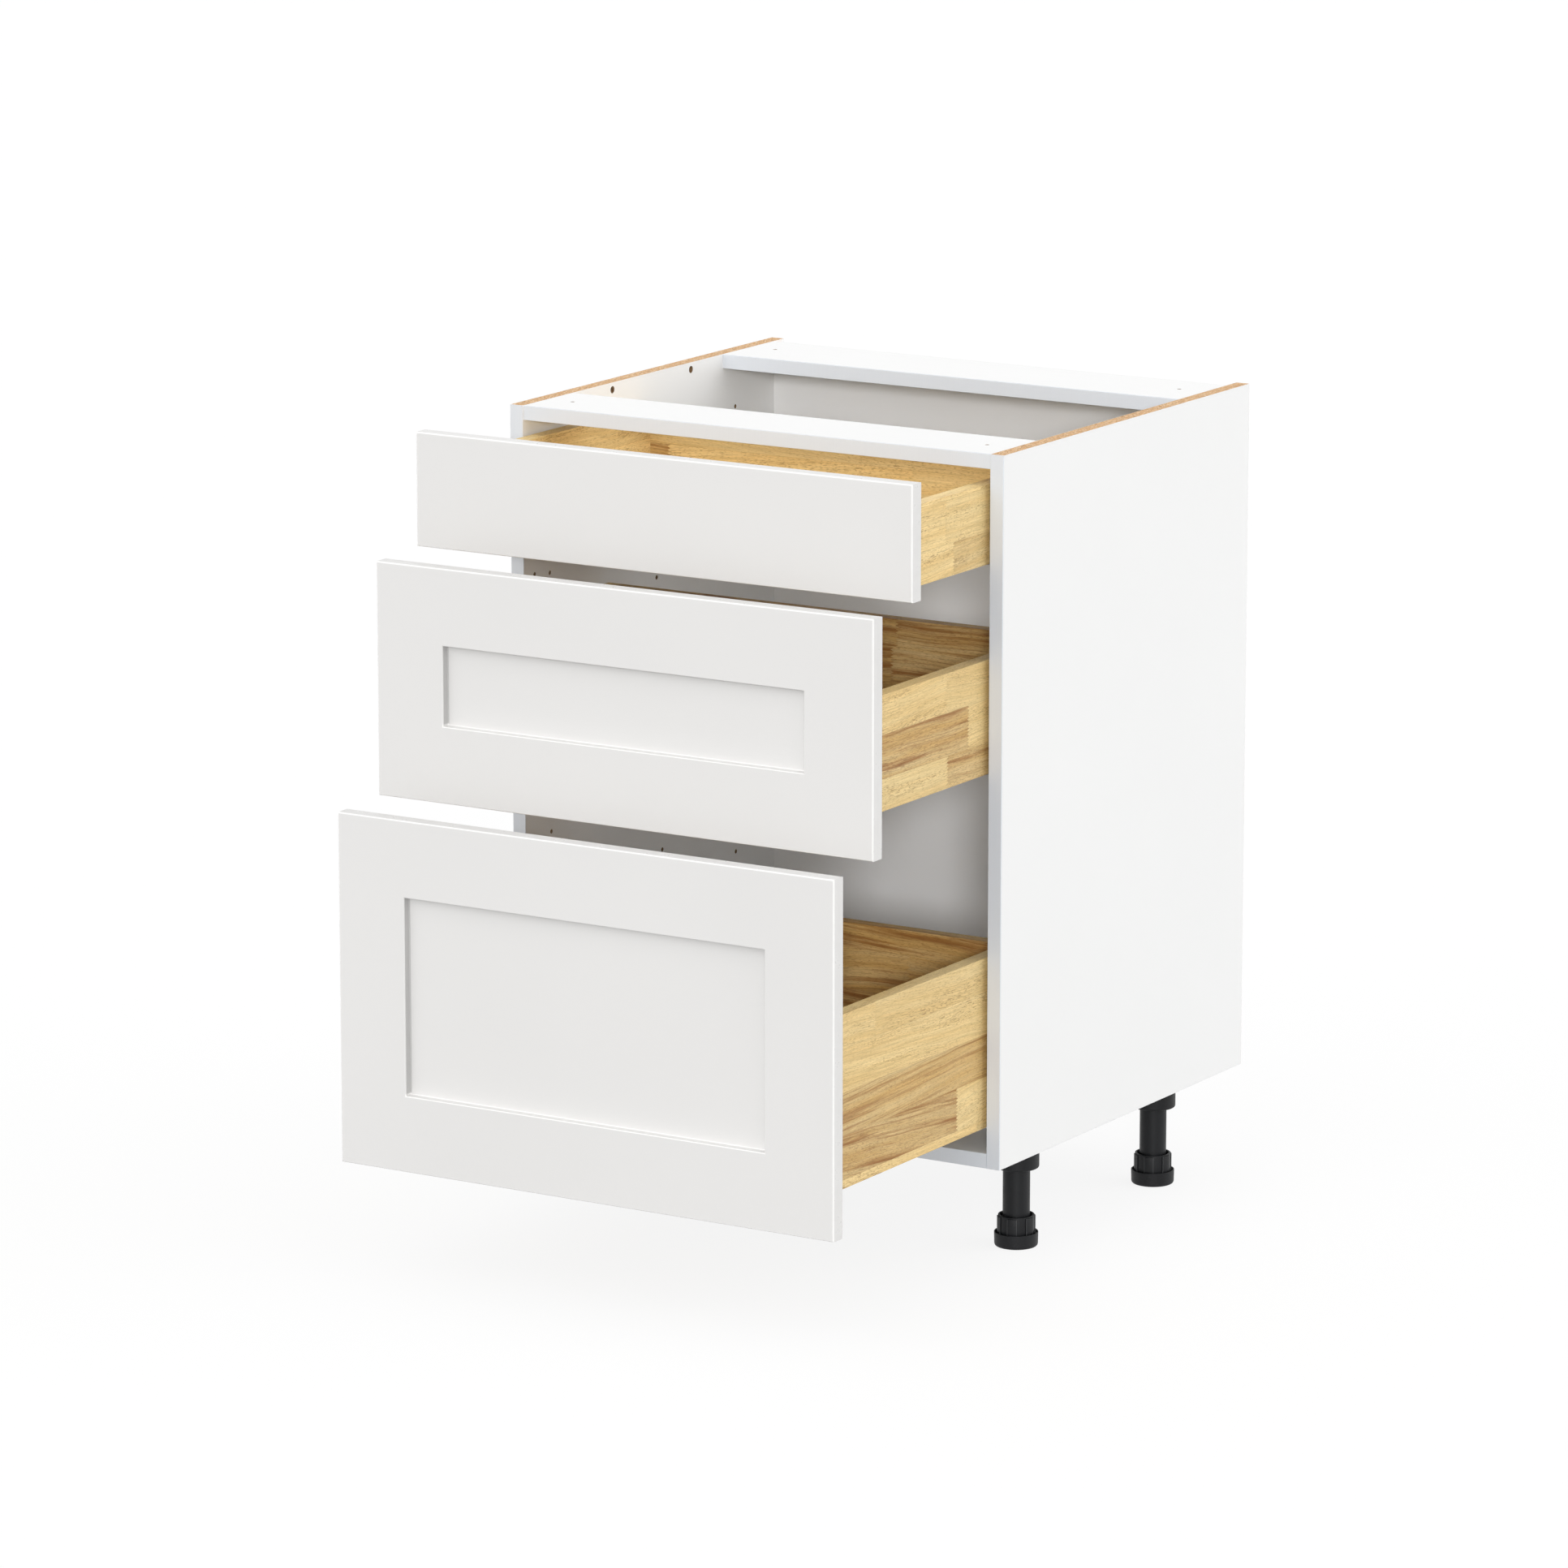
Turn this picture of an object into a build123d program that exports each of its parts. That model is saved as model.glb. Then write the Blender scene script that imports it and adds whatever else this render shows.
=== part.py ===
from build123d import *
import math
import os

# Base cabinet with three drawers on adjustable legs.  Millimetres, +Z up, +Y towards the back, +X to the
# right as seen from the front.  While the pieces are made, X = 0 is the middle of the width, Y = 0 is the
# front plane of the carcass and Z = 0 is the floor.  The drawers are modelled partly open, as they stand at
# rest.  On export every piece moves along Y, so that the origin is the middle of the footprint.

# ---------------------------------------------------------------------------------------------------------
# Driving dimensions
# ---------------------------------------------------------------------------------------------------------

# Carcass
cabinet_width = 609.6            # over the side panels
cabinet_depth = 533.4            # front edge bands to the rear edges of the sides
carcass_height = 762.0           # height of the side panels
leg_height = 114.3               # floor to the underside of the carcass
panel_thickness = 16.0           # sides, bottom and top rails
back_thickness = 16.0
back_inset = 5.7                 # back panel in from the rear edges of the sides
back_drop = 4.0                  # top of the back panel below the top of the sides
front_rail_depth = 95.5
front_rail_setback = 2.0         # front rail in from the front edges of the sides
rear_rail_depth = 108.0
edge_band_thickness = 1.0
edge_band_radius = 0.7

# Carcass joinery
dowel_radius = 4.0
dowel_length = 30.0
dowel_in_side = 11.0             # the part of a dowel that sits in a side panel
dowel_chamfer = 0.8
hole_clearance = 0.05            # round a dowel, a bolt thread or a screw thread
hole_end_room = 0.3              # beyond the end of a dowel, bolt or screw
rail_dowel_inset = 20.0          # dowel from the outer long edge of a rail
rail_cam_inset = 66.0            # cam from the outer long edge of a rail
floor_dowel_inset = 40.0         # dowel from the front and rear edges of the bottom panel
floor_cam_inset = 190.0          # cam from the front and rear edges of the bottom panel
back_dowel_inset = 110.0         # outer dowels from the ends of the back panel
back_dowel_count = 3
cam_radius = 7.4
cam_height = 12.0
cam_distance = 24.0              # cam axis from the inner face of the side panel
cam_slot_width = 7.8
cam_slot_depth = 8.0             # below the top of the cam
cam_slot_reach = 4.0             # past the cam's axis
cam_key_width = 1.2
cam_key_depth = 2.0
bolt_head_radius = 3.5
bolt_head_length = 4.0
bolt_neck_radius = 2.0
bolt_neck_length = 5.5
bolt_shaft_radius = 3.4
bolt_thread_radius = 2.9
bolt_thread_length = 11.0

# Spare holes in the side panels
spare_hole_radius = 2.5
spare_hole_depth = 11.0
spare_holes = (                  # from the front edge, and up from the underside of the carcass
    (21.5, 575.0),
    (51.3, 572.0),
    (51.3, 286.0),
    (265.5, 532.0),
    (275.5, 222.5),
    (430.0, 699.5),
    (430.0, 190.5),
)
spare_dowel_hole_y = 177.5       # first of the two wide holes, from the front edge
spare_dowel_hole_pitch = 160.0
worktop_hole_radius = 2.5
worktop_hole_inset_x = 48.0      # from the outer faces of the sides
worktop_hole_inset_y = 49.0      # from the front plane, and from the rear edge of the rear rail

# Legs
leg_inset_x = 44.3               # leg axis from the outer face of the side
front_leg_inset_y = 113.5        # front leg axis from the front plane
rear_leg_inset_y = 119.4         # rear leg axis from the rear edges of the sides
socket_radius = 24.3
socket_height = 27.8
socket_ceiling = 4.0
socket_fillet = 2.5
flange_radius = 34.0
flange_thickness = 3.0
flange_screw_circle = 28.5
flange_screw_count = 4
tube_radius = 14.65
tube_wall = 2.4
socket_fit = 0.1                 # tube in its socket, on the radius
pad_radius = 23.75
pad_rim_height = 15.7
pad_rim_wall = 1.4
pad_floor = 9.0
pad_fillet = 3.5
collar_lift = 0.3                # collar above the pad, and tube above the collar
collar_height = 25.3
collar_lug_radius = 20.65
collar_recess_radius = 19.5
collar_bore_radius = 17.4
collar_lug_drop = 1.2            # top of the lugs below the top of the collar
collar_lug_count = 6
collar_phase = -58.6             # degrees from +X to the edge of a lug
collar_web = 5.0
spindle_radius = 8.0
spindle_height = 70.0            # top of the spindle above the floor
spindle_fit = 0.1                # spindle in the tube's nut, on the radius
nut_length = 14.0
pivot_radius = 5.0
pivot_fit = 0.1
pivot_floor = 3.0

# Runners
runner_sheet = 1.2               # thickness of the steel
runner_channel_gap = 2.0         # channel from the inner face of the box side
runner_channel_width = 21.2
runner_lip = 2.2
runner_play = 0.4                # between sliding members
runner_web_drop = 2.0            # below the underside of the box sides
runner_flange_height = 9.0       # above the underside of the box sides
cabinet_channel_height = 3.5     # top of the cabinet rail's lips above the underside of the box sides
drawer_channel_gap = 1.0         # drawer rail's lips above the cabinet rail's lips
runner_front_room = 3.0          # cabinet and link rails behind the closed box front
cabinet_rail_length = 380.0
link_rail_length = 340.0
runner_front_screw_inset = 20.0  # from the front end of the cabinet rail
runner_middle_screw_inset = 148.0
runner_rear_screw_inset = 40.0   # from the rear end of the cabinet rail
runner_screw_height = 4.0        # above the underside of the box sides
rear_hook_height = 34.0          # top of the drawer rail's rear tab above the underside of the box sides
rear_pin_radius = 3.0
rear_pin_length = 8.0
rear_pin_drop = 6.0              # pin axis below the top of the tab
full_travel = 385.0

# Drawer boxes
box_side_gap = 5.0               # box side to carcass side
box_depth = 400.0
box_side_thickness = 16.0
box_end_thickness = 16.0
box_bottom_thickness = 9.0
box_bottom_recess = 13.0         # underside of the bottom above the underside of the sides
box_groove_depth = 6.0
box_groove_end_room = 0.3
box_dowel_in_side = 10.0
box_dowel_inset = 13.0           # outer dowels from the ends of the joint
clip_width = 30.0
clip_length = 45.0
clip_thickness = 8.0
clip_lever_width = 14.0
clip_lever_length = 26.0
clip_lever_drop = 3.5
clip_fillet = 1.5
clip_peg_radius = 2.5
clip_peg_length = 6.0
clip_peg_inset = 10.0

# Drawer fronts
front_thickness = 18.0
front_side_gap = 1.5             # from the outer faces of the sides
front_bottom_gap = 0.6           # from the underside of the carcass
front_top_gap = 3.0              # from the top of the carcass
front_gap = 3.8                  # between two fronts
front_closed_gap = 2.0           # behind a closed front
upper_front_height = 122.2
centre_front_height = 250.6      # the lower front fills what is left
front_edge_radius = 1.5
frame_width = 82.5
field_recess = 9.3
field_edge_radius = 0.8
front_screw_inset_x = 66.0       # from the side edges of the front
front_screw_low = 14.0           # above the bottom of the box
front_screw_high = 18.0          # below the top of the box

# Open distances at rest
upper_rest_opening = 161.5
rest_opening_step = 76.0

# Boxes: underside of the sides above the lower edge of the front, height of the sides, dowels in a joint
upper_box_rise = 8.4
upper_side_height = 84.5
upper_dowel_count = 2
centre_box_rise = 40.3
centre_side_height = 121.5
centre_dowel_count = 2
lower_box_rise = 41.6
lower_side_height = 184.0
lower_dowel_count = 3

# Screws: thread radius, length under the head, head radius, head height
leg_screw = (1.75, 14.0, 3.2, 2.0)
runner_screw = (2.0, 13.0, 3.6, 2.0)
front_screw = (2.0, 28.0, 4.0, 2.4)
screw_tip_ratio = 1.8            # length of the point over the thread radius
screw_slot_width = 0.8
screw_slot_depth = 1.0

# ---------------------------------------------------------------------------------------------------------
# Levels and planes worked out from them
# ---------------------------------------------------------------------------------------------------------

half_width = cabinet_width / 2
inner_half = half_width - panel_thickness
carcass_bottom = leg_height
carcass_top = carcass_bottom + carcass_height
floor_top = carcass_bottom + panel_thickness
rail_bottom = carcass_top - panel_thickness
floor_middle = carcass_bottom + panel_thickness / 2
rail_middle = carcass_top - panel_thickness / 2
back_rear = cabinet_depth - back_inset
back_front = back_rear - back_thickness
back_middle = (back_front + back_rear) / 2
back_top = carcass_top - back_drop
front_rail_rear = front_rail_setback + front_rail_depth
rear_rail_front = back_front - rear_rail_depth
front_half_width = half_width - front_side_gap
box_outer_half = inner_half - box_side_gap
box_inner_half = box_outer_half - box_side_thickness
lower_rest_opening = upper_rest_opening + 2 * rest_opening_step
front_most_y = -(front_closed_gap + front_thickness + lower_rest_opening)
footprint_middle_y = (front_most_y + cabinet_depth) / 2
SIDES = {"left": -1, "right": 1}

# ---------------------------------------------------------------------------------------------------------
# Shapes used by several pieces
# ---------------------------------------------------------------------------------------------------------


def block(x0, x1, y0, y1, z0, z1):
    """Box between two values on each axis, given in either order."""
    corner = Pos(min(x0, x1), min(y0, y1), min(z0, z1))
    return corner * Box(abs(x1 - x0), abs(y1 - y0), abs(z1 - z0), align=(Align.MIN, Align.MIN, Align.MIN))


def rod(start, direction, radius, length):
    """Round bar from a point along a direction."""
    bar = Cylinder(radius, length, align=(Align.CENTER, Align.CENTER, Align.MIN))
    return Plane(origin=start, z_dir=direction) * bar


def turned(*profile):
    """Body turned about Z from a closed profile of (radius, height) points."""
    outline = Polyline(*[(radius, 0, height) for radius, height in profile], close=True)
    return revolve(make_face(outline), axis=Axis.Z)


def drawn_section(points, y0, y1):
    """Length of a section given as (x, z) points, between two values of Y."""
    outline = Polyline(*[(x, y0, z) for x, z in points], close=True)
    return extrude(make_face(outline), amount=y1 - y0, dir=(0, 1, 0))


def group(shapes):
    """Separate solids that share one node."""
    return Compound([solid for shape in shapes for solid in shape.solids()])


def dowel(start, direction):
    """Wooden dowel with chamfered ends."""
    pin = turned(
        (0, 0),
        (dowel_radius - dowel_chamfer, 0),
        (dowel_radius, dowel_chamfer),
        (dowel_radius, dowel_length - dowel_chamfer),
        (dowel_radius - dowel_chamfer, dowel_length),
        (0, dowel_length),
    )
    return Plane(origin=start, z_dir=direction) * pin


def dowel_hole(face_point, direction, depth):
    """Hole for a dowel, from the face that it enters."""
    return rod(face_point, direction, dowel_radius + hole_clearance, depth + hole_end_room)


def screw(seat, direction, size):
    """Screw with a domed, cross-slotted head that bears on the seat, pointing along the direction."""
    thread_radius, length, head_radius, head_height = size
    tip = screw_tip_ratio * thread_radius
    body = turned(
        (0, -head_height),
        (0.6 * head_radius, -head_height),
        (head_radius, -0.4 * head_height),
        (head_radius, 0),
        (thread_radius, 0),
        (thread_radius, length - tip),
        (0, length),
    )
    reach = 0.55 * head_radius
    half_slot = screw_slot_width / 2
    slot_floor = screw_slot_depth - head_height
    across = block(-reach, reach, -half_slot, half_slot, -head_height, slot_floor)
    along = block(-half_slot, half_slot, -reach, reach, -head_height, slot_floor)
    return Plane(origin=seat, z_dir=direction) * (body - [across, along])


def screw_hole(seat, direction, size):
    """Hole for a screw, from its seat to just past its tip."""
    thread_radius, length, _, _ = size
    return rod(seat, direction, thread_radius + hole_clearance, length + hole_end_room)


def spread(first, last, count):
    """Evenly spaced values, both ends included."""
    return [first + (last - first) * index / (count - 1) for index in range(count)]


# ---------------------------------------------------------------------------------------------------------
# Carcass
# ---------------------------------------------------------------------------------------------------------

# Places along the inner faces of the sides, as (y, z)
RAIL_DOWELS = [
    (front_rail_setback + rail_dowel_inset, rail_middle),
    (back_front - rail_dowel_inset, rail_middle),
]
RAIL_CAMS = [
    (front_rail_setback + rail_cam_inset, rail_middle),
    (back_front - rail_cam_inset, rail_middle),
]
FLOOR_DOWELS = [
    (floor_dowel_inset, floor_middle),
    (back_rear - floor_dowel_inset, floor_middle),
]
FLOOR_CAMS = [
    (floor_cam_inset, floor_middle),
    (back_rear - floor_cam_inset, floor_middle),
]
BACK_DOWELS = [
    (back_middle, z)
    for z in spread(floor_top + back_dowel_inset, back_top - back_dowel_inset, back_dowel_count)
]
WORKTOP_HOLES_Y = [worktop_hole_inset_y, back_front - worktop_hole_inset_y]


def panel_dowel_holes(places):
    """Holes in the ends of a panel that meets both sides."""
    depth = dowel_length - dowel_in_side
    return [
        dowel_hole((side * inner_half, y, z), (-side, 0, 0), depth)
        for side in SIDES.values()
        for y, z in places
    ]


def cam_holes(places, underside):
    """Round pockets for the cams and the bores that lead the bolts to them."""
    cutters = []
    for side in SIDES.values():
        for y, z in places:
            cam_x = side * (inner_half - cam_distance)
            pocket_radius = cam_radius + hole_clearance
            cutters.append(rod((cam_x, y, underside), (0, 0, 1), pocket_radius, cam_height + hole_end_room))
            bore_radius = bolt_head_radius + hole_clearance
            cutters.append(rod((side * inner_half, y, z), (-side, 0, 0), bore_radius, cam_distance))
    return cutters


def runner_screw_places(box):
    """Runner screws of one drawer, as (y, z)."""
    insets = (
        runner_front_screw_inset,
        runner_middle_screw_inset,
        cabinet_rail_length - runner_rear_screw_inset,
    )
    return [(runner_front + inset, box["underside"] + runner_screw_height) for inset in insets]


def make_side_panel(side, boxes):
    """Side panel behind its front edge band, drilled on its inner face."""
    panel = block(
        side * inner_half, side * half_width, edge_band_thickness, cabinet_depth, carcass_bottom, carcass_top
    )
    inner_face = side * inner_half
    outward = (side, 0, 0)
    cutters = [
        dowel_hole((inner_face, y, z), outward, dowel_in_side)
        for y, z in RAIL_DOWELS + FLOOR_DOWELS + BACK_DOWELS
    ]
    thread_hole_radius = bolt_thread_radius + hole_clearance
    thread_hole_depth = bolt_thread_length + hole_end_room
    for y, z in RAIL_CAMS + FLOOR_CAMS:
        cutters.append(rod((inner_face, y, z), outward, thread_hole_radius, thread_hole_depth))
    for y, rise in spare_holes:
        mouth = (inner_face, y, carcass_bottom + rise)
        cutters.append(rod(mouth, outward, spare_hole_radius, spare_hole_depth))
    for index in range(2):
        y = spare_dowel_hole_y + index * spare_dowel_hole_pitch
        cutters.append(rod((inner_face, y, rail_middle), outward, dowel_radius, dowel_in_side))
    for box in boxes:
        for y, z in runner_screw_places(box):
            seat = (side * (inner_half - runner_sheet), y, z)
            cutters.append(screw_hole(seat, outward, runner_screw))
    return panel - cutters


def make_top_rail(y0, y1, hole_y):
    """Flat rail under the worktop, with a screw hole near each end."""
    rail = block(-inner_half, inner_half, y0 + edge_band_thickness, y1, rail_bottom, carcass_top)
    own = [place for place in RAIL_DOWELS if y0 < place[0] < y1]
    own_cams = [place for place in RAIL_CAMS if y0 < place[0] < y1]
    hole_x = half_width - worktop_hole_inset_x
    worktop_holes = [
        rod((side * hole_x, hole_y, rail_bottom), (0, 0, 1), worktop_hole_radius, panel_thickness)
        for side in SIDES.values()
    ]
    return rail - (panel_dowel_holes(own) + cam_holes(own_cams, rail_bottom) + worktop_holes)


def make_bottom_panel():
    """Bottom panel between the sides, drilled for dowels, cams and leg screws."""
    panel = block(-inner_half, inner_half, edge_band_thickness, back_rear, carcass_bottom, floor_top)
    cutters = panel_dowel_holes(FLOOR_DOWELS) + cam_holes(FLOOR_CAMS, carcass_bottom)
    for seat in leg_screw_seats():
        cutters.append(screw_hole(seat, (0, 0, 1), leg_screw))
    return panel - cutters


def make_back_panel():
    """Back panel between the sides, standing on the bottom panel."""
    panel = block(-inner_half, inner_half, back_front, back_rear, floor_top, back_top)
    return panel - panel_dowel_holes(BACK_DOWELS)


def make_edge_band(x0, x1, y0, z0, z1):
    """Strip on the front edge of a panel, with its long outer edges eased."""
    strip = block(x0, x1, y0, y0 + edge_band_thickness, z0, z1)
    long_axis = Axis.Z if z1 - z0 > x1 - x0 else Axis.X
    front_edges = strip.edges().filter_by(long_axis).group_by(Axis.Y)[0]
    return fillet(front_edges, edge_band_radius)


def make_edge_bands():
    """Strips on the front edges of the sides, the bottom panel and both rails."""
    return group([
        make_edge_band(-half_width, -inner_half, 0, carcass_bottom, carcass_top),
        make_edge_band(inner_half, half_width, 0, carcass_bottom, carcass_top),
        make_edge_band(-inner_half, inner_half, 0, carcass_bottom, floor_top),
        make_edge_band(-inner_half, inner_half, front_rail_setback, rail_bottom, carcass_top),
        make_edge_band(-inner_half, inner_half, rear_rail_front, rail_bottom, carcass_top),
    ])


def make_carcass_dowels():
    """Dowels that locate the rails, the bottom and the back between the sides."""
    return group([
        dowel((side * (inner_half + dowel_in_side), y, z), (-side, 0, 0))
        for side in SIDES.values()
        for y, z in RAIL_DOWELS + FLOOR_DOWELS + BACK_DOWELS
    ])


def make_cam_bolt(side, y, z):
    """Bolt screwed into a side panel, with its head inside the cam."""
    head_end = cam_distance + bolt_head_length / 2
    head_start = head_end - bolt_head_length
    neck_start = head_start - bolt_neck_length
    bolt = turned(
        (0, -bolt_thread_length),
        (bolt_thread_radius, -bolt_thread_length),
        (bolt_thread_radius, 0),
        (bolt_shaft_radius, 0),
        (bolt_shaft_radius, neck_start),
        (bolt_neck_radius, neck_start),
        (bolt_neck_radius, head_start),
        (bolt_head_radius, head_start),
        (bolt_head_radius, head_end),
        (0, head_end),
    )
    return Plane(origin=(side * inner_half, y, z), z_dir=(-side, 0, 0)) * bolt


def make_cam(side, y, underside):
    """Cam that draws a bolt in, slotted for the bolt and keyed for a screwdriver."""
    cam_x = side * (inner_half - cam_distance)
    cam = rod((cam_x, y, underside), (0, 0, 1), cam_radius, cam_height)
    half_slot = cam_slot_width / 2
    slot = block(
        cam_x - side * cam_slot_reach,
        cam_x + side * cam_radius,
        y - half_slot,
        y + half_slot,
        underside + cam_height - cam_slot_depth,
        underside + cam_height,
    )
    half_key = cam_key_width / 2
    key = block(
        cam_x - cam_slot_reach,
        cam_x + cam_slot_reach,
        y - half_key,
        y + half_key,
        underside,
        underside + cam_key_depth,
    )
    return cam - [slot, key]


def make_cams():
    """Cams in the undersides of the rails and of the bottom panel."""
    places = [(y, rail_bottom) for y, _ in RAIL_CAMS] + [(y, carcass_bottom) for y, _ in FLOOR_CAMS]
    return group([make_cam(side, y, underside) for side in SIDES.values() for y, underside in places])


def make_cam_bolts():
    """One bolt for each cam."""
    return group([make_cam_bolt(side, y, z) for side in SIDES.values() for y, z in RAIL_CAMS + FLOOR_CAMS])


# ---------------------------------------------------------------------------------------------------------
# Legs
# ---------------------------------------------------------------------------------------------------------

LEGS = {
    f"{row}_{name}": (side * (half_width - leg_inset_x), y)
    for row, y in (("front", front_leg_inset_y), ("rear", cabinet_depth - rear_leg_inset_y))
    for name, side in SIDES.items()
}
collar_bottom = pad_floor + collar_lift
collar_top = collar_bottom + collar_height
web_top = collar_bottom + collar_web
tube_bottom = web_top + collar_lift
tube_top = carcass_bottom - socket_ceiling
flange_underside = carcass_bottom - flange_thickness


def leg_screw_seats():
    """Underside of every leg flange, at its screws."""
    seats = []
    for x, y in LEGS.values():
        for index in range(flange_screw_count):
            angle = math.radians(360 / flange_screw_count * (index + 0.5))
            dx = flange_screw_circle * math.cos(angle)
            dy = flange_screw_circle * math.sin(angle)
            seats.append((x + dx, y + dy, flange_underside))
    return seats


def make_leg_sockets():
    """Flanged sockets under the bottom panel."""
    socket_bottom = carcass_bottom - socket_height
    bore = tube_radius + socket_fit
    socket = turned(
        (bore, socket_bottom),
        (socket_radius, socket_bottom),
        (socket_radius, flange_underside),
        (flange_radius, flange_underside),
        (flange_radius, carcass_bottom),
        (0, carcass_bottom),
        (0, tube_top),
        (bore, tube_top),
    )
    rims = socket.edges().filter_by(GeomType.CIRCLE).group_by(Axis.Z)[0].sort_by(SortBy.RADIUS)
    socket = fillet(rims[-1], socket_fillet)
    sockets = [Pos(x, y, 0) * socket for x, y in LEGS.values()]
    holes = [screw_hole(seat, (0, 0, 1), leg_screw) for seat in leg_screw_seats()]
    return group([one - holes for one in sockets])


def make_leg_tubes():
    """Tubes held in the sockets, each with a nut section at its lower end."""
    nut_bore = spindle_radius + spindle_fit
    bore = tube_radius - tube_wall
    tube = turned(
        (nut_bore, tube_bottom),
        (tube_radius, tube_bottom),
        (tube_radius, tube_top),
        (bore, tube_top),
        (bore, tube_bottom + nut_length),
        (nut_bore, tube_bottom + nut_length),
    )
    return group([Pos(x, y, 0) * tube for x, y in LEGS.values()])


def make_foot_pad():
    """Dished pad that stands on the floor and carries the pivot of the collar."""
    rim_bore = pad_radius - pad_rim_wall
    pivot_bore = pivot_radius + pivot_fit
    pad = turned(
        (0, 0),
        (pad_radius, 0),
        (pad_radius, pad_rim_height),
        (rim_bore, pad_rim_height),
        (rim_bore, pad_floor),
        (pivot_bore, pad_floor),
        (pivot_bore, pivot_floor),
        (0, pivot_floor),
    )
    lowest = pad.edges().filter_by(GeomType.CIRCLE).group_by(Axis.Z)[0]
    return fillet(lowest, pad_fillet)


def make_foot_collar():
    """Fluted collar with the spindle that screws into the tube, and its pivot in the pad."""
    core = turned(
        (0, pivot_floor + collar_lift),
        (pivot_radius, pivot_floor + collar_lift),
        (pivot_radius, collar_bottom),
        (collar_recess_radius, collar_bottom),
        (collar_recess_radius, collar_top),
        (collar_bore_radius, collar_top),
        (collar_bore_radius, web_top),
        (spindle_radius, web_top),
        (spindle_radius, spindle_height),
        (0, spindle_height),
    )
    lug_top = collar_top - collar_lug_drop
    middle_radius = (collar_bore_radius + collar_recess_radius) / 2
    lug_ring = turned(
        (middle_radius, collar_bottom),
        (collar_lug_radius, collar_bottom),
        (collar_lug_radius, lug_top),
        (middle_radius, lug_top),
    )
    half_pitch = 180 / collar_lug_count
    reach = 2 * collar_lug_radius
    gaps = []
    for index in range(collar_lug_count):
        start = math.radians(collar_phase + 2 * half_pitch * index)
        end = start + math.radians(half_pitch)
        corner = Polyline(
            (0, 0, collar_bottom),
            (reach * math.cos(start), reach * math.sin(start), collar_bottom),
            (reach * math.cos(end), reach * math.sin(end), collar_bottom),
            close=True,
        )
        gaps.append(extrude(make_face(corner), amount=collar_height, dir=(0, 0, 1)))
    return core + (lug_ring - gaps)


# ---------------------------------------------------------------------------------------------------------
# Runners
# ---------------------------------------------------------------------------------------------------------

channel_start = box_side_gap + box_side_thickness + runner_channel_gap
channel_end = channel_start + runner_channel_width
closed_box_front = -front_closed_gap
closed_box_rear = closed_box_front + box_depth
runner_front = closed_box_front + box_end_thickness + runner_front_room
drawer_lip_bottom = cabinet_channel_height + drawer_channel_gap


def across_side(side, box, points):
    """Section points (distance from the side panel, height above the box's underside) as (x, z)."""
    return [(side * (inner_half - away), box["underside"] + up) for away, up in points]


def make_cabinet_rail(side, box):
    """Fixed rail: a flange on the side panel, a web under the box side and a lipped channel."""
    sheet = runner_sheet
    web_top_level = -runner_web_drop
    web_bottom_level = web_top_level - sheet
    lip_top = cabinet_channel_height
    inner_start = channel_start + sheet
    inner_end = channel_end - sheet
    section = [
        (0, web_bottom_level),
        (channel_end, web_bottom_level),
        (channel_end, lip_top),
        (inner_end - runner_lip, lip_top),
        (inner_end - runner_lip, lip_top - sheet),
        (inner_end, lip_top - sheet),
        (inner_end, web_top_level),
        (inner_start, web_top_level),
        (inner_start, lip_top - sheet),
        (inner_start + runner_lip, lip_top - sheet),
        (inner_start + runner_lip, lip_top),
        (channel_start, lip_top),
        (channel_start, web_top_level),
        (sheet, web_top_level),
        (sheet, runner_flange_height),
        (0, runner_flange_height),
    ]
    rail = drawn_section(across_side(side, box, section), runner_front, runner_front + cabinet_rail_length)
    holes = [
        screw_hole((side * (inner_half - sheet), y, z), (side, 0, 0), runner_screw)
        for y, z in runner_screw_places(box)
    ]
    return rail - holes


def link_section(inset):
    """Outline of the link rail, moved inwards by an inset."""
    sheet = runner_sheet
    play = runner_play
    start = channel_start + sheet + play + inset
    end = channel_end - sheet - play - inset
    waist_start = channel_start + sheet + runner_lip + play + inset
    waist_end = channel_end - sheet - runner_lip - play - inset
    bottom = play - runner_web_drop + inset
    low_shoulder = cabinet_channel_height - sheet - play - inset
    high_shoulder = drawer_lip_bottom + sheet + play + inset
    top = box_bottom_recess - sheet - play - inset
    return [
        (start, bottom),
        (end, bottom),
        (end, low_shoulder),
        (waist_end, low_shoulder),
        (waist_end, high_shoulder),
        (end, high_shoulder),
        (end, top),
        (start, top),
        (start, high_shoulder),
        (waist_start, high_shoulder),
        (waist_start, low_shoulder),
        (start, low_shoulder),
    ]


def make_link_rail(side, box):
    """Hollow rail that travels half as far as the drawer."""
    y0 = runner_front - box["opening"] / 2
    y1 = y0 + link_rail_length
    solid_rail = drawn_section(across_side(side, box, link_section(0)), y0, y1)
    hollow = drawn_section(across_side(side, box, link_section(runner_sheet)), y0, y1)
    return solid_rail - hollow


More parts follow.
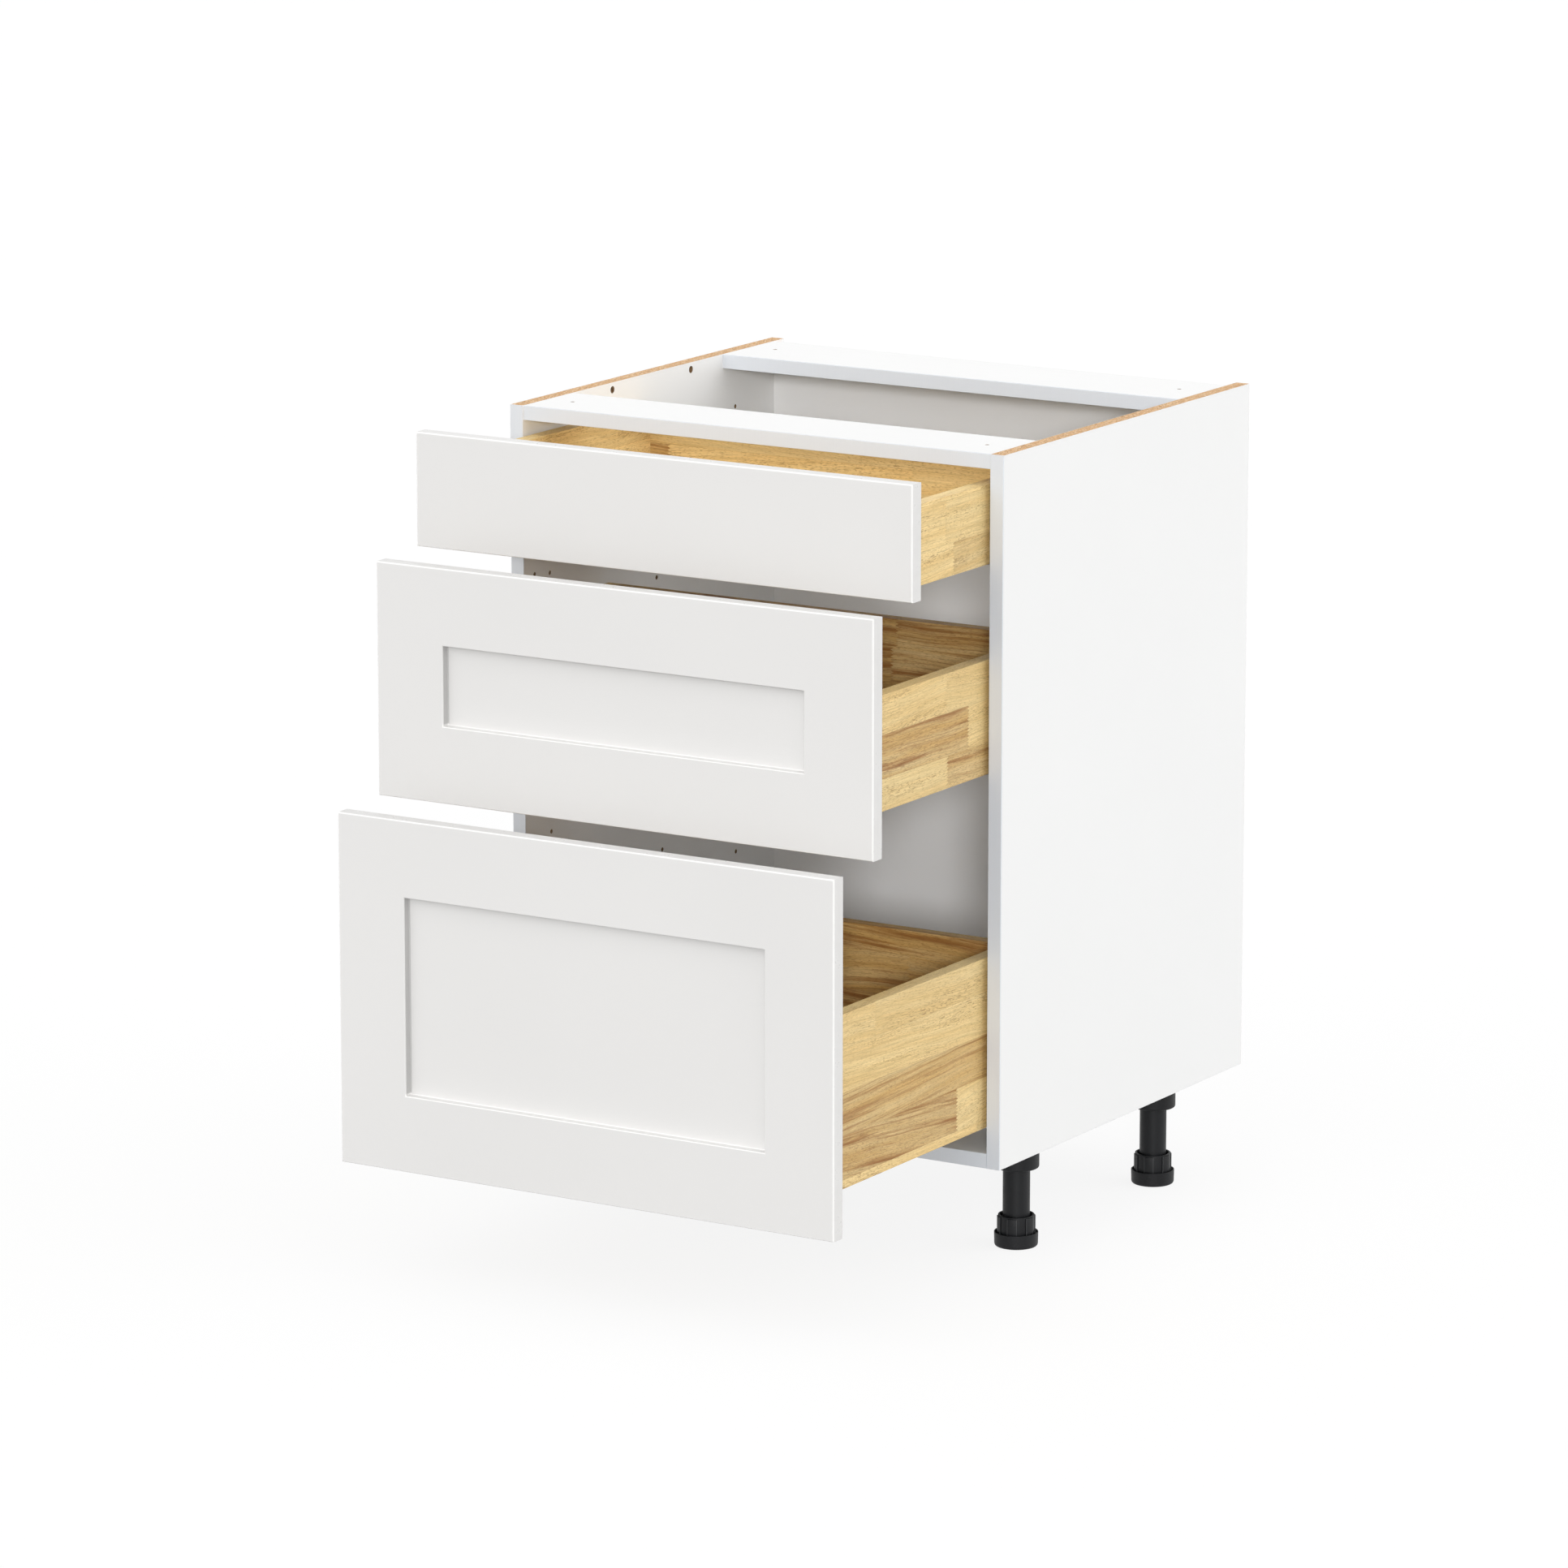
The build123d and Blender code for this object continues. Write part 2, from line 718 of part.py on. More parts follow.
def make_drawer_rail(side, box):
    """Rail under the bottom of the box, with a rear tab and a pin that enters the back of the box."""
    sheet = runner_sheet
    top = box_bottom_recess
    inner_start = channel_start + sheet
    inner_end = channel_end - sheet
    section = [
        (channel_start, top),
        (channel_end, top),
        (channel_end, drawer_lip_bottom),
        (inner_end - runner_lip, drawer_lip_bottom),
        (inner_end - runner_lip, drawer_lip_bottom + sheet),
        (inner_end, drawer_lip_bottom + sheet),
        (inner_end, top - sheet),
        (inner_start, top - sheet),
        (inner_start, drawer_lip_bottom + sheet),
        (inner_start + runner_lip, drawer_lip_bottom + sheet),
        (inner_start + runner_lip, drawer_lip_bottom),
        (channel_start, drawer_lip_bottom),
    ]
    rear = box["rear"]
    rail = drawn_section(across_side(side, box, section), box["front"] + box_end_thickness, rear + sheet)
    tab = block(
        side * (inner_half - channel_start),
        side * (inner_half - channel_end),
        rear,
        rear + sheet,
        box["underside"] + top - sheet,
        box["underside"] + rear_hook_height,
    )
    pin = rod(rear_pin_base(side, box), (0, -1, 0), rear_pin_radius, rear_pin_length)
    return rail + [tab, pin]


def rear_pin_base(side, box):
    """Centre of a rear pin where it leaves its tab."""
    away = (channel_start + channel_end) / 2
    height = box["underside"] + rear_hook_height - rear_pin_drop
    return (side * (inner_half - away), box["rear"], height)


def make_front_clip(side, box):
    """Clip behind the box front that locks the box on its drawer rail."""
    start = inner_half - channel_end
    end = start - clip_width
    front = box["front"] + box_end_thickness
    top = box["underside"] + box_bottom_recess
    body = block(side * start, side * end, front, front + clip_length, top - clip_thickness, top)
    body = fillet(body.edges().filter_by(Axis.Z), clip_fillet)
    lever_start = start - (clip_width - clip_lever_width) / 2
    lever = block(
        side * lever_start,
        side * (lever_start - clip_lever_width),
        front + clip_peg_inset / 2,
        front + clip_peg_inset / 2 + clip_lever_length,
        top - clip_thickness - clip_lever_drop,
        top - clip_thickness,
    )
    lever = fillet(lever.edges().filter_by(Axis.Z), clip_fillet)
    pegs = [rod(foot, (0, 0, 1), clip_peg_radius, clip_peg_length) for foot in clip_peg_feet(side, box)]
    return body + [lever] + pegs


def clip_peg_feet(side, box):
    """Where the pegs of a front clip enter the bottom of the box."""
    x = side * (inner_half - channel_end - clip_width / 2)
    front = box["front"] + box_end_thickness
    z = box["underside"] + box_bottom_recess
    return [(x, front + clip_peg_inset, z), (x, front + clip_length - clip_peg_inset, z)]


# ---------------------------------------------------------------------------------------------------------
# Drawers
# ---------------------------------------------------------------------------------------------------------

upper_front_bottom = carcass_top - front_top_gap - upper_front_height
centre_front_bottom = upper_front_bottom - front_gap - centre_front_height
lower_front_bottom = carcass_bottom + front_bottom_gap
lower_front_height = centre_front_bottom - front_gap - lower_front_bottom


def plan_box(front_bottom, front_height, framed, rise, side_height, opening, dowel_count):
    """Levels of one drawer at rest."""
    underside = front_bottom + rise
    return {
        "front_bottom": front_bottom,
        "front_top": front_bottom + front_height,
        "framed": framed,
        "underside": underside,
        "top": underside + side_height,
        "opening": opening,
        "front": closed_box_front - opening,
        "rear": closed_box_rear - opening,
        "bottom_underside": underside + box_bottom_recess,
        "bottom_top": underside + box_bottom_recess + box_bottom_thickness,
        "dowel_count": dowel_count,
    }


BOXES = {
    "upper": plan_box(
        upper_front_bottom,
        upper_front_height,
        False,
        upper_box_rise,
        upper_side_height,
        upper_rest_opening,
        upper_dowel_count,
    ),
    "centre": plan_box(
        centre_front_bottom,
        centre_front_height,
        True,
        centre_box_rise,
        centre_side_height,
        upper_rest_opening + rest_opening_step,
        centre_dowel_count,
    ),
    "lower": plan_box(
        lower_front_bottom,
        lower_front_height,
        True,
        lower_box_rise,
        lower_side_height,
        lower_rest_opening,
        lower_dowel_count,
    ),
}


def box_dowel_heights(box):
    """Heights of the dowels in each corner of a box."""
    return spread(box["bottom_top"] + box_dowel_inset, box["top"] - box_dowel_inset, box["dowel_count"])


def box_dowel_places(box, end):
    """Dowel centres on the inner face of a box side, as (y, z), at the front or the rear end."""
    y = box["front"] + box_end_thickness / 2 if end == "front" else box["rear"] - box_end_thickness / 2
    return [(y, z) for z in box_dowel_heights(box)]


def front_screw_seats(box):
    """Where the front screws bear on the inner face of the box front."""
    x = front_half_width - front_screw_inset_x
    y = box["front"] + box_end_thickness
    heights = (box["bottom_top"] + front_screw_low, box["top"] - front_screw_high)
    return [(side * x, y, z) for side in SIDES.values() for z in heights]


def make_drawer_front(box):
    """Drawer front with eased edges; a framed one has a sunken field."""
    rear_face = box["front"]
    face = rear_face - front_thickness
    bottom = box["front_bottom"]
    top = box["front_top"]
    front = block(-front_half_width, front_half_width, face, rear_face, bottom, top)
    front = fillet(front.edges().group_by(Axis.Y)[0], front_edge_radius)
    if box["framed"]:
        field = block(
            -front_half_width + frame_width,
            front_half_width - frame_width,
            face,
            face + field_recess,
            bottom + frame_width,
            top - frame_width,
        )
        front = front - field
        rim = front.faces().sort_by(Axis.Y)[0].inner_wires()[0].edges()
        front = fillet(rim, field_edge_radius)
    holes = [screw_hole(seat, (0, -1, 0), front_screw) for seat in front_screw_seats(box)]
    return front - holes


def make_box_side(side, box):
    """Drawer box side, grooved for the bottom."""
    panel = block(
        side * box_inner_half, side * box_outer_half, box["front"], box["rear"], box["underside"], box["top"]
    )
    groove = block(
        side * box_inner_half,
        side * (box_inner_half + box_groove_depth),
        box["front"],
        box["rear"],
        box["bottom_underside"],
        box["bottom_top"],
    )
    holes = [
        dowel_hole((side * box_inner_half, y, z), (side, 0, 0), box_dowel_in_side)
        for end in ("front", "rear")
        for y, z in box_dowel_places(box, end)
    ]
    return panel - ([groove] + holes)


def box_end_dowel_holes(box, end):
    """Holes in both ends of a box front or back."""
    return [
        dowel_hole((side * box_inner_half, y, z), (-side, 0, 0), dowel_length - box_dowel_in_side)
        for side in SIDES.values()
        for y, z in box_dowel_places(box, end)
    ]


def make_box_front(box):
    """Inner front of a drawer box, grooved for the bottom and drilled for the front screws."""
    inner_face = box["front"] + box_end_thickness
    panel = block(-box_inner_half, box_inner_half, box["front"], inner_face, box["underside"], box["top"])
    groove = block(
        -box_inner_half,
        box_inner_half,
        inner_face - box_groove_depth,
        inner_face,
        box["bottom_underside"],
        box["bottom_top"],
    )
    holes = [screw_hole(seat, (0, -1, 0), front_screw) for seat in front_screw_seats(box)]
    return panel - ([groove] + holes + box_end_dowel_holes(box, "front"))


def make_box_back(box):
    """Back of a drawer box, standing on the bottom, with holes for the rear pins."""
    y0 = box["rear"] - box_end_thickness
    panel = block(-box_inner_half, box_inner_half, y0, box["rear"], box["bottom_top"], box["top"])
    holes = [
        rod(
            rear_pin_base(side, box),
            (0, -1, 0),
            rear_pin_radius + hole_clearance,
            rear_pin_length + hole_end_room,
        )
        for side in SIDES.values()
    ]
    return panel - (holes + box_end_dowel_holes(box, "rear"))


def make_box_bottom(box):
    """Bottom of a drawer box, in the grooves of the sides and the front and under the back."""
    half = box_inner_half + box_groove_depth - box_groove_end_room
    y0 = box["front"] + box_end_thickness - box_groove_depth + box_groove_end_room
    panel = block(-half, half, y0, box["rear"], box["bottom_underside"], box["bottom_top"])
    holes = [
        rod(foot, (0, 0, 1), clip_peg_radius + hole_clearance, clip_peg_length + hole_end_room)
        for side in SIDES.values()
        for foot in clip_peg_feet(side, box)
    ]
    return panel - holes


def make_box_dowels(box):
    """Dowels in the four corners of a drawer box."""
    return group([
        dowel((side * (box_inner_half + box_dowel_in_side), y, z), (-side, 0, 0))
        for side in SIDES.values()
        for end in ("front", "rear")
        for y, z in box_dowel_places(box, end)
    ])


# ---------------------------------------------------------------------------------------------------------
# All pieces, one node each
# ---------------------------------------------------------------------------------------------------------


def both_sides(make, box):
    """A left and a right copy of a runner piece."""
    return group([make(side, box) for side in SIDES.values()])


def make_runner_screws():
    """Screws that hold the cabinet rails on the side panels."""
    return group([
        screw((side * (inner_half - runner_sheet), y, z), (side, 0, 0), runner_screw)
        for box in BOXES.values()
        for side in SIDES.values()
        for y, z in runner_screw_places(box)
    ])


pieces = {
    "side_panel_left": make_side_panel(SIDES["left"], BOXES.values()),
    "side_panel_right": make_side_panel(SIDES["right"], BOXES.values()),
    "bottom_panel": make_bottom_panel(),
    "front_top_rail": make_top_rail(front_rail_setback, front_rail_rear, WORKTOP_HOLES_Y[0]),
    "rear_top_rail": make_top_rail(rear_rail_front, back_front, WORKTOP_HOLES_Y[1]),
    "back_panel": make_back_panel(),
    "front_edge_bands": make_edge_bands(),
    "carcass_dowels": make_carcass_dowels(),
    "cam_bolts": make_cam_bolts(),
    "cam_locks": make_cams(),
    "leg_sockets": make_leg_sockets(),
    "leg_tubes": make_leg_tubes(),
    "leg_screws": group([screw(seat, (0, 0, 1), leg_screw) for seat in leg_screw_seats()]),
    "runner_screws": make_runner_screws(),
}

for level, box in BOXES.items():
    pieces[f"{level}_cabinet_rails"] = both_sides(make_cabinet_rail, box)
    pieces[f"{level}_link_rails"] = both_sides(make_link_rail, box)
    pieces[f"{level}_drawer_rails"] = both_sides(make_drawer_rail, box)
    pieces[f"{level}_front_clips"] = both_sides(make_front_clip, box)
    pieces[f"{level}_drawer_front"] = make_drawer_front(box)
    pieces[f"{level}_box_front"] = make_box_front(box)
    pieces[f"{level}_box_back"] = make_box_back(box)
    pieces[f"{level}_box_bottom"] = make_box_bottom(box)
    pieces[f"{level}_box_side_left"] = make_box_side(SIDES["left"], box)
    pieces[f"{level}_box_side_right"] = make_box_side(SIDES["right"], box)
    pieces[f"{level}_box_dowels"] = make_box_dowels(box)
    pieces[f"{level}_front_screws"] = group(
        [screw(seat, (0, -1, 0), front_screw) for seat in front_screw_seats(box)]
    )

for corner, (leg_x, leg_y) in LEGS.items():
    pieces[f"foot_pad_{corner}"] = Pos(leg_x, leg_y, 0) * make_foot_pad()
    pieces[f"foot_collar_{corner}"] = Pos(leg_x, leg_y, 0) * make_foot_collar()

os.makedirs("parts", exist_ok=True)
for node, shape in pieces.items():
    export_step(Pos(0, -footprint_middle_y, 0) * shape, os.path.join("parts", node + ".step"))
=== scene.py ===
import math

import bmesh
import bpy
from bpy.props import FloatProperty, FloatVectorProperty, IntProperty, PointerProperty
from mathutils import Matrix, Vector


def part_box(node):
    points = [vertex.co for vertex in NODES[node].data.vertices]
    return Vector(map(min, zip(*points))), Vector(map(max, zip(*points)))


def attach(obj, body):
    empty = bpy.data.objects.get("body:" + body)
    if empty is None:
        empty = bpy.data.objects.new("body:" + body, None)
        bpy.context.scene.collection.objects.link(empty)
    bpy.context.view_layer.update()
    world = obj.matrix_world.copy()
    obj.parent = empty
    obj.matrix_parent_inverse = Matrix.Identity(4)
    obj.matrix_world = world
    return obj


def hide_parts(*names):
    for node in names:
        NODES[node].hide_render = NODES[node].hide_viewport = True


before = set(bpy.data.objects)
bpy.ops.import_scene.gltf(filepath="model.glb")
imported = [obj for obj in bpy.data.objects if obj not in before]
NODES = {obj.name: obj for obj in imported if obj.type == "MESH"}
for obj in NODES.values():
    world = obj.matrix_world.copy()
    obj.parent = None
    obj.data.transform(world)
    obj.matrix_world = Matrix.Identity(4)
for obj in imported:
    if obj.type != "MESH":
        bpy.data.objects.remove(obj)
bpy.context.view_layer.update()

bl_info = {
    "name": "Base Cabinet with Drawers",
    "version": (1, 0, 0),
    "blender": (4, 5, 0),
    "location": "3D View > Sidebar > Cabinet",
    "description": "Finishes and detailed pieces of a kitchen base cabinet with three drawers",
    "category": "Object",
}

DRAWERS = ("upper", "centre", "lower")
CORNERS = ("front_left", "front_right", "rear_left", "rear_right")

# Numbers that the meshes are made with. Distances are in metres, apart from the lens and its sensor.
MERGE_DISTANCE = 1e-6               # points this close together are one
FLAT_ANGLE = math.radians(0.4)      # faces that meet at less than this are joined again
EASE_ANGLE = math.radians(38)       # edges sharper than this are eased
EASE_LIMIT = 0.49                   # share of a line that the rounding of its corner may take
MITRE_ANGLE = math.radians(24)      # edges of a drawer front sharper than this are drawn sharp
SCREW_ANGLE = math.radians(32)      # the same for screws
COLLAR_ANGLE = math.radians(35)     # the same for collars
ARC_STEPS = 6                       # faces of a quarter round on a drawer front
ROUND_SEGMENTS = 96
TUBE_SEGMENTS = 80
CAM_EASE = 0.0002

# Fits and small features of the legs
TURNING_FIT = 0.0001                # between pieces that turn or slide in one another, on the radius
NUT_LENGTH = 0.014                  # threaded foot of a leg tube
PIVOT_RADIUS = 0.005                # pin under a collar that turns in its pad
PIVOT_SEAT = 0.003                  # floor of the pad under that pin
COLLAR_WEB = 0.005                  # thickness of the collar's floor
SPINDLE_THREAD_DEPTH = 0.0009
THREAD_START = 0.001                # thread above the collar's floor
THREAD_STOP = 0.0012                # thread below the top of the spindle
LUG_ROOT = 0.0008                   # part of a lug that is sunk in the collar
LUG_LIFT = 0.0001                   # lug's ends inside those of the collar's wall
LUG_EASE = 0.0006
LEG_SCUFF = 0.05                    # how strongly the scuffs on the legs show

# Screws: thread radius, length below the head, head radius and head height
RUNNER_SCREW = (0.002, 0.013, 0.0036, 0.002)
LEG_SCREW = (0.00175, 0.014, 0.0032, 0.002)
FRONT_SCREW = (0.002, 0.028, 0.004, 0.0024)

# Parts of a screw as shares of the radius or height of its head, of its thread radius or of its length
CROWN_RADIUS = 0.66                 # flat top of the head
SHOULDER_RADIUS = 0.96              # where the slope of the head gets steeper
SHOULDER_HEIGHT = 0.55
RECESS_LENGTH = 1.05                # bars of the cross that is cut in the head
RECESS_WIDTH = 0.26
RECESS_DEPTH = 1.3                  # a bar's whole depth, of which half is in the head
CORE_RADIUS = 0.74
RIDGE_RADIUS = 0.3
NECK_LENGTH = 0.82                  # from the head to where the point starts

# Studio: the floor's half width, the camera's sensor in millimetres, and the ways that the lamps shine
FLOOR_REACH = 60.0
CAMERA_REACH = 300.0                # the farthest that the camera sees
SENSOR_WIDTH = 36.0
KEY_SHINES = (0.22, 0.42, -0.42)
SIDE_SHINES = (-0.30, -0.14, -0.08)
FILL_SHINES = (-0.51, 0.83, -0.205)

# The pattern of a board's staves follows from its number. Boards are numbered in turn, apart from these.
CHOSEN_STAVES = {"lower_box_side_right": 47}
# Painted shade: the lower two backs are moved towards brown to darken them
BACK_SHADE_BROWNING = 0.62                   # how far the staves of the lower two backs are moved towards brown


def middle(low, high):
    """Centre of a box given by its two corners."""
    return (low + high) / 2


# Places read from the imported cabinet
SOCKETS_LOW, SOCKETS_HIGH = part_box("leg_sockets")
TUBES_LOW, TUBES_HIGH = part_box("leg_tubes")
FRONT_LEFT_LEG = middle(*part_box("foot_pad_front_left"))
REAR_RIGHT_LEG = middle(*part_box("foot_pad_rear_right"))


# ---------------------------------------------------------------------------------------------------------
# Sizes and colours that a user may change
# ---------------------------------------------------------------------------------------------------------


def colour(name, description, value):
    return FloatVectorProperty(
        name=name, description=description, subtype="COLOR", size=3, min=0, max=1, default=value
    )


def point(name, description, value):
    return FloatVectorProperty(
        name=name, description=description, subtype="XYZ", unit="LENGTH", size=3, default=value
    )


def number(name, description, value, **settings):
    return FloatProperty(name=name, description=description, default=value, **settings)


def length(name, description, value):
    return number(name, description, value, unit="LENGTH", min=0, precision=5)


def share(name, description, value):
    return number(name, description, value, subtype="FACTOR", min=0, max=1)


def angle(name, description, degrees):
    return number(name, description, math.radians(degrees), subtype="ANGLE")


class CabinetColours(bpy.types.PropertyGroup):
    foil: colour("Foil", "White foil on the carcass boards", (0.86, 0.862, 0.858))
    back: colour("Back panel", "White lacquer of the back panel", (0.90, 0.902, 0.906))
    # Painted shade: the band is darker than the foil, for the shade that the drawers cast on the front edges
    band: colour("Edge band", "White band on the front edges", (0.700, 0.735, 0.785))
    paint: colour("Paint", "Paint on the drawer fronts", (0.770, 0.762, 0.750))
    chip_light: colour("Light chip", "Lightest chips of the raw board", (0.88, 0.65, 0.41))
    chip: colour("Chip", "Most chips of the raw board", (0.70, 0.385, 0.16))
    chip_dark: colour("Dark chip", "Darkest chips of the raw board", (0.27, 0.12, 0.04))
    wood_light: colour("Light wood", "Pale staves of the drawer boxes", (0.83, 0.64, 0.315))
    wood: colour("Wood", "Usual staves of the drawer boxes", (0.70, 0.46, 0.165))
    wood_dark: colour("Dark wood", "Brown staves and streaks", (0.31, 0.125, 0.027))
    wood_pore: colour("Pore", "Pores and glue lines of the wood", (0.20, 0.088, 0.024))
    beech: colour("Beech", "Dowels", (0.68, 0.47, 0.27))
    plastic: colour("Black plastic", "Moulded legs", (0.0042, 0.0047, 0.0058))
    clip: colour("Clip plastic", "Clips that lock the boxes on their rails", (0.045, 0.048, 0.052))
    steel: colour("Runner steel", "Zinc plated sheet", (0.60, 0.61, 0.62))
    screw: colour("Screw steel", "Bright plated screws and cam bolts", (0.66, 0.65, 0.62))
    # Also the colour of the painted highlight on the collars' lugs
    alloy: colour("Cam alloy", "Cast cams, and the scuffs on plastic", (0.48, 0.49, 0.50))
    floor: colour("Floor", "Studio floor", (0.93, 0.93, 0.93))


class CabinetSizes(bpy.types.PropertyGroup):
    board_ease: length("Board edge", "Easing of the edges of the carcass boards", 0.00015)
    box_ease: length("Box edge", "Easing of the edges of the drawer box boards", 0.0007)
    metal_ease: length("Metal edge", "Easing of the edges of rails and clips", 0.0002)
    foil_thickness: length("Foil", "Thickness of the foil seen at a cut edge", 0.00028)
    front_edge: length("Front edge", "Rounding of the outer front edges of a drawer front", 0.0016)
    back_edge: length("Back edge", "Rounding of the rear edges of a drawer front", 0.0006)
    frame_width: length("Frame", "Width of the frame round a field", 0.0825)
    field_depth: length("Field depth", "Depth of a field behind its frame", 0.0093)
    field_edge: length("Field edge", "Rounding where the frame drops to the field", 0.0012)
    field_cove: length("Field cove", "Rounding in the corner between frame and field", 0.0011)
    stave_height: length("Stave height", "Height of a wooden stave", 0.046)
    stave_length: length("Stave length", "Length of a wooden stave", 0.31)
    finger_pitch: length("Finger pitch", "Distance between the fingers of a stave joint", 0.0038)
    finger_depth: length("Finger depth", "Length of the fingers of a stave joint", 0.0042)
    socket_radius: length("Socket radius", "Outside of a leg socket", 0.0243)
    flange_radius: length("Flange radius", "Outside of a leg flange", SOCKETS_HIGH.x - REAR_RIGHT_LEG.x)
    flange_thickness: length("Flange", "Thickness of a leg flange", 0.003)
    tube_radius: length("Tube radius", "Outside of a leg tube", TUBES_HIGH.x - REAR_RIGHT_LEG.x)
    tube_wall: length("Tube wall", "Wall of a leg tube", 0.0024)
    pad_rim_wall: length("Pad rim", "Wall of the rim of a foot pad", 0.0014)
    pad_floor: length("Pad floor", "Thickness of a foot pad inside its rim", 0.009)
    collar_bottom: length("Collar foot", "Underside of the collar above the floor", 0.0093)
    collar_height: length("Collar height", "Height of the adjusting collar", 0.0253)
    collar_core: length("Collar core", "Radius of the collar between its lugs", 0.0195)
    collar_bore: length("Collar bore", "Bore of the collar round the tube", 0.0174)
    lug_drop: length("Lug drop", "Top of the lugs below the top of the collar", 0.0012)
    spindle_radius: length("Spindle", "Outside of the threaded spindle", 0.008)
    spindle_pitch: length("Spindle pitch", "Rise of one turn of the spindle's thread", 0.004)
    lug_count: IntProperty(name="Lugs", description="Number of lugs on a collar", min=3, max=24, default=6)
    lug_phase: angle("Lug phase", "Turn of the first gap between lugs", -58.6)
    thread_pitch: length("Thread pitch", "Rise of one turn of a screw's thread", 0.0016)


class StudioSettings(bpy.types.PropertyGroup):
    camera_place: point("Camera", "Place of the camera", (4.33688, -7.09035, 2.28655))
    camera_target: point("Target", "Point in the middle of the frame", (-0.05297, 0.05, 0.46156))
    lens: number("Lens", "Focal length in millimetres", 182.315, min=1)
    sky: number("Sky", "Strength of the even light from all round", 0.84, min=0)
    key: number("Key", "Strength of the soft light from above the front", 0.50, min=0)
    side: number("Side", "Strength of the soft light from the right", 1.12, min=0)
    fill: number("Fill", "Strength of the light from beside the camera", 1.22, min=0)
    softness: angle("Softness", "Angle that the key light and the side light fill", 60)
    fill_softness: angle("Fill softness", "Angle that the fill light fills", 7)
    floor_bounce: share("Floor bounce", "Light thrown back by the floor as a share of what it shows", 0.36)
    floor_glow: share("Floor glow", "How far the floor is lifted towards white where it is seen", 0.86)


# ---------------------------------------------------------------------------------------------------------
# Material nodes
# ---------------------------------------------------------------------------------------------------------


class Nodes:
    """Adds and joins the nodes of one material, world or node group."""

    def __init__(self, tree):
        self.tree = tree

    def add(self, kind, **settings):
        node = self.tree.nodes.new(kind)
        for name, value in settings.items():
            setattr(node, name, value)
        return node

    def feed(self, socket, value):
        """Links an output to an input, or writes a number, a vector or a colour into it."""
        if isinstance(value, bpy.types.NodeSocket):
            self.tree.links.new(value, socket)
        elif hasattr(value, "__len__") and len(value) == 3 and socket.type == "RGBA":
            socket.default_value = (*value, 1)
        else:
            socket.default_value = value

    def fill(self, node, *values):
        """Feeds the first inputs of a node in turn."""
        for socket, value in zip(node.inputs, values):
            self.feed(socket, value)
        return node

    def name(self, node, **values):
        """Feeds the inputs of a node by their names, where an underscore stands for a space."""
        for name, value in values.items():
            self.feed(node.inputs[name.replace("_", " ")], value)
        return node

    def math(self, operation, *values):
        return self.fill(self.add("ShaderNodeMath", operation=operation), *values).outputs[0]

    def times(self, first, *others):
        for other in others:
            first = self.math("MULTIPLY", first, other)
        return first

    def plus(self, first, *others):
        for other in others:
            first = self.math("ADD", first, other)
        return first

    def minus(self, first, second):
        return self.math("SUBTRACT", first, second)

    def over(self, first, second):
        return self.math("DIVIDE", first, second)

    def lesser(self, first, second):
        return self.math("MINIMUM", first, second)

    def greater(self, first, second):
        return self.math("MAXIMUM", first, second)

    def move(self, operation, *values):
        """A sum or a product of vectors."""
        return self.fill(self.add("ShaderNodeVectorMath", operation=operation), *values).outputs[0]

    def split(self, vector):
        return tuple(self.fill(self.add("ShaderNodeSeparateXYZ"), vector).outputs)

    def join(self, x, y, z):
        return self.fill(self.add("ShaderNodeCombineXYZ"), x, y, z).outputs[0]

    def stretch(self, vector, x, y, z):
        return self.move("MULTIPLY", vector, (x, y, z))

    def noise(self, vector, scale, detail=2.0, roughness=0.5):
        node = self.add("ShaderNodeTexNoise")
        return self.name(node, Vector=vector, Scale=scale, Detail=detail, Roughness=roughness).outputs[0]

    def drawn(self, vector, scales, detail, roughness=0.5):
        """Noise with its own scale on each axis, so it is drawn out along the axis where that is small."""
        return self.noise(self.stretch(vector, *scales), 1.0, detail, roughness)

    def cells(self, vector, scale):
        return self.name(self.add("ShaderNodeTexVoronoi"), Vector=vector, Scale=scale).outputs

    def scatter(self, vector):
        """A fixed random value and colour for each whole vector."""
        node = self.name(self.add("ShaderNodeTexWhiteNoise", noise_dimensions="3D"), Vector=vector)
        return node.outputs["Value"], node.outputs["Color"]

    def span(self, value, low, high, to_low=0.0, to_high=1.0):
        """A value between low and high brought to the range from to_low to to_high."""
        node = self.add("ShaderNodeMapRange", clamp=True)
        return self.fill(node, value, low, high, to_low, to_high).outputs[0]

    def blend(self, factor, first, second, mode="MIX"):
        node = self.add("ShaderNodeMix", data_type="RGBA", blend_type=mode)
        for index, value in ((0, factor), (6, first), (7, second)):
            self.feed(node.inputs[index], value)
        return node.outputs[2]

    def shaded(self, base, factor):
        """A colour made lighter or darker by a factor."""
        return self.blend(1.0, base, self.join(factor, factor, factor), "MULTIPLY")

    def varied(self, base, *rows):
        """A colour shaded once for each row: a value, its low and high, and the factors there."""
        for row in rows:
            base = self.shaded(base, self.span(*row))
        return base

    def bump(self, height, distance):
        return self.name(self.add("ShaderNodeBump"), Height=height, Distance=distance).outputs[0]

    def group(self, tree, **values):
        return self.name(self.add("ShaderNodeGroup", node_tree=tree), **values).outputs

    def white(self, kind, strength):
        """A white emission or background."""
        return self.name(self.add(kind), Color=(1, 1, 1), Strength=strength).outputs[0]

    def faded(self, factor, first, second):
        """One shader faded into another."""
        return self.fill(self.add("ShaderNodeMixShader"), factor, first, second).outputs[0]


